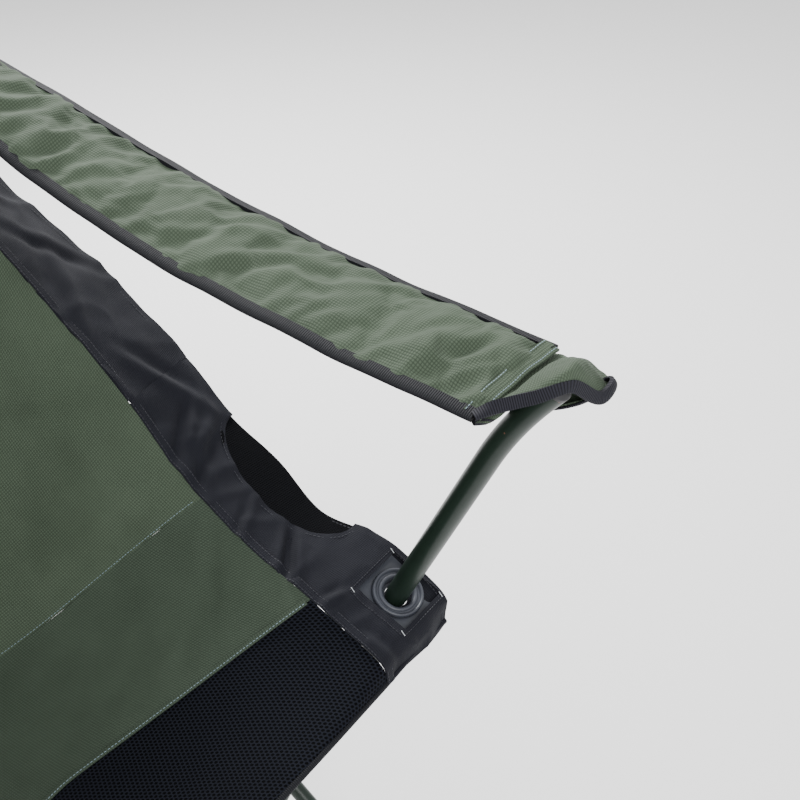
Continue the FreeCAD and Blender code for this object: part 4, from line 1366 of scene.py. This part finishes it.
def make_pole():
    pole = start_circle("pole_pattern", 32, 8.0 * MM)
    bpy.ops.transform.translate(value=(0, 0, REACH * MM))

    def next_ring(step, thin, wide):
        bpy.ops.mesh.extrude_region_move(TRANSFORM_OT_translate={"value": (0, 0, step * MM)})
        bpy.ops.transform.resize(value=(wide, thin, 1), center_override=(0, 0, 0))

    next_ring(POLE_LENGTH - 2 * REACH, 1, 1)
    for step, thin in ((3, 0.82), (3, 0.72), (3, 0.72), (2, 0.90)):
        next_ring(step, thin, 1)
    next_ring(REACH - 11, 1, 1)
    for a0, a1 in ((0, 25), (25, 50), (50, 72)):
        rise = 8 * (math.sin(math.radians(a1)) - math.sin(math.radians(a0)))
        next_ring(rise, 0.985, math.cos(math.radians(a1)) / math.cos(math.radians(a0)))
    close_ends()
    # the other end is the same, mirrored about the middle
    edit_all(pole)
    bpy.ops.mesh.bisect(plane_co=(0, 0, POLE_LENGTH / 2 * MM), plane_no=(0, 0, 1), clear_inner=True)
    bpy.ops.object.mode_set(mode="OBJECT")
    modify(pole, "MIRROR", use_axis=(False, False, True), use_bisect_axis=(False, False, False),
           mirror_object=mirror_spot, use_mirror_merge=True, merge_threshold=0.00002)
    return pole


mirror_spot = bpy.data.objects.new("mirror_spot", None)
bpy.context.scene.collection.objects.link(mirror_spot)
mirror_spot.location = (0, 0, POLE_LENGTH / 2 * MM)
bpy.context.view_layer.update()
pattern = make_pole()
for z in (0, POLE_LENGTH / 2, POLE_LENGTH):
    bpy.ops.object.select_all(action="DESELECT")
    bpy.ops.mesh.primitive_cylinder_add(vertices=24, radius=3.1 * MM, depth=40 * MM,
                                        location=(0, 0, z * MM), rotation=(math.pi / 2, 0, 0))
    drill = bpy.context.object
    settle(drill)
    cut(pattern, drill)
outward(pattern)
bpy.data.objects.remove(mirror_spot)

FACES = {"back": (0, 1), "front": (0, -1), "left": (1, 0), "right": (-1, 0)}
for face, name, foot in [(face, face + end, foot) for face in ("back", "left", "right", "front")
                         for end, foot in (("_a", 1), ("_b", -1))]:
    nx, ny = FACES[face]
    out = Vector((nx, ny, 0))
    along = Vector((abs(ny), abs(nx), 0))
    base = along * (foot * 230) + out * (260 + foot * 9)
    start = at(base.x, base.y, 40)
    reach = (along * (-foot * SPAN) + Vector((0, 0, RISE))).normalized()
    pole = pattern.copy()
    pole.data = pattern.data.copy()
    pole.name = pole.data.name = "pole_tube_" + name
    bpy.context.scene.collection.objects.link(pole)
    axes = Matrix((reach.cross(out) * -1, out, reach)).transposed()
    settle(pole, Matrix.Translation(start) @ axes.to_4x4())
    outward(pole)
    smooth(pole, 40)
    dress(pole, tube_paint, "tube_paint", face + "_pole_" + name[-1], "pole_" + name)
bpy.data.objects.remove(pattern)

# %% [markdown]
# ## Back posts
# Each back post stands in its foot, runs up through the sliding rear hub and leans back above a bend.

# %% Back posts
for side, word in ((1, "left"), (-1, "right")):
    tube = bent_tube("back_tube_" + word, at(side * 260, 260, 12), Vector((0, 0, 1)), Vector((0, 1, 0)),
                     11.0, BEND_Z - 12, BEND_RADIUS, 16, TOP_LENGTH, sides=48, steps=10)[0]
    dress(tube, tube_paint, "tube_paint", "rear_" + word, "back_post_" + word)

# %% [markdown]
# ## Feet, hubs, pins, rivets and caps
# The moulded corner pieces have the exact hinges of the CAD model, so their meshes are taken over.
# Their flat faces are cleaned up and every sharp edge gets the small radius a moulding has. The
# steel pins and rivets get a smaller one.

# %% Mouldings and fasteners from the CAD model
def taken(node, name, material, slot, body, radius, segments=2):
    """A finished copy of a CAD node, with its edges rounded."""
    source = frame["nodes"][node]
    piece = bpy.data.objects.new(name, source.data.copy())
    piece.data.name = name
    bpy.context.scene.collection.objects.link(piece)
    outward(piece, 1e-6)
    edit_all(piece)
    bpy.ops.mesh.dissolve_limited(angle_limit=math.radians(0.6))
    bpy.ops.object.mode_set(mode="OBJECT")
    modify(piece, "BEVEL", width=radius * MM, segments=segments, limit_method="ANGLE",
           angle_limit=math.radians(38), use_clamp_overlap=True, miter_outer="MITER_SHARP")
    smooth(piece, 45)
    return dress(piece, material, slot, body, node)


MOULDINGS = (("foot_", "foot_moulding_", hub_plastic, "black_plastic", "", 0.9),
             ("hub_", "hub_moulding_", hub_plastic, "black_plastic", "_hub", 0.9),
             ("ground_pad_", "ground_rubber_", foot_rubber, "ground_rubber", "", 1.2),
             ("foot_pins_", "foot_steel_pins_", rivet_steel, "rivet_steel", "", 0.4),
             ("hub_pins_", "hub_steel_pins_", rivet_steel, "rivet_steel", "_hub", 0.4))
for corner in ("rear_left", "rear_right", "front_left", "front_right"):
    for node, name, material, slot, end, radius in MOULDINGS:
        taken(node + corner, name + corner, material, slot, corner + end, radius)
for face in FACES:
    taken("rivet_" + face, "crossing_rivet_" + face, rivet_steel, "rivet_steel", face + "_pole_a", 0.4)
for word in ("left", "right"):
    taken("back_cap_" + word, "back_plug_" + word, hub_plastic, "black_plastic", "rear_" + word, 0.3)
    taken("arm_cap_" + word, "arm_plug_" + word, hub_plastic, "black_plastic", "arm_" + word, 0.3)

# %% [markdown]
# ## Own meshes for the soft pieces
# When the chair folds, the frame closes to a bundle and the cloth gathers between the posts. A sheet
# can't be rigid through that; here the soft pieces and the armrests only get their own copies of their
# meshes.

# %% Own meshes for the soft pieces
def narrow(piece):
    """Gives a soft piece its own copy of its mesh."""
    body = piece["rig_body"]
    if body in ("seat", "sling", "rear_left"):
        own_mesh(piece)
    elif body == "rear_right":
        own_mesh(piece)


panels = [front_mesh, seat_green, low_green, back_green]
for word in ("left", "right"):
    panels += list(bands[word][:4])
for piece in panels + soft_parts:
    if not piece.name.startswith("back_sleeve"):
        narrow(piece)
for piece in arm_pieces + [p for p in right_pieces if p["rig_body"].startswith("arm_band")]:
    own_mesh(piece)

# %% [markdown]
# ## Floor, light and camera
# A white floor, one soft light high behind the chair, a weaker one in front and a bright sky
# give the flat, even light of an outdoor day in the shade. The camera stands where the picture of a
# real chair of this size would be taken from, looking down on the armrest and the seat's corner.

# %% Floor and lights
bpy.ops.object.select_all(action="DESELECT")
bpy.ops.mesh.primitive_plane_add(size=8.0, location=(0, 0, 0))
floor = bpy.context.object
floor.name = "floor"
floor_paint, tree, shader = new_material("matt floor white", Base_Color=hexcol("#f4f4f4"), Roughness=0.9)
floor.data.materials.append(floor_paint)

world = bpy.data.worlds.new("studio sky")
world.use_nodes = True
world.node_tree.nodes["Background"].inputs["Color"].default_value = (1, 1, 1, 1)
world.node_tree.nodes["Background"].inputs["Strength"].default_value = 1.15
bpy.context.scene.world = world


def area_light(name, place, target, size, watts):
    bpy.ops.object.light_add(type="AREA", location=place)
    lamp = bpy.context.object
    lamp.name = name
    lamp.data.size, lamp.data.energy = size, watts
    lamp.rotation_euler = (Vector(target) - Vector(place)).to_track_quat("-Z", "Y").to_euler()
    return lamp


area_light("key light", (1.3, 1.2, 1.9), (0.2, -0.2, 0.5), 0.8, 95)
area_light("fill light", (-1.2, -1.8, 2.2), (0.1, -0.1, 0.5), 1.6, 60)

# %% Camera
EYE = at(-362.0, -725.9, 1150.9)
bpy.ops.object.camera_add(location=EYE)
camera = bpy.context.object
right, forward = Vector((0.5878, -0.8090, 0)), Vector((0.6627, 0.4815, -0.5736))
camera.matrix_world = Matrix((right, right.cross(forward), -forward)).transposed().to_4x4()
camera.location = EYE
camera.data.lens, camera.data.sensor_width = 58.05, 36.0
bpy.context.scene.camera = camera
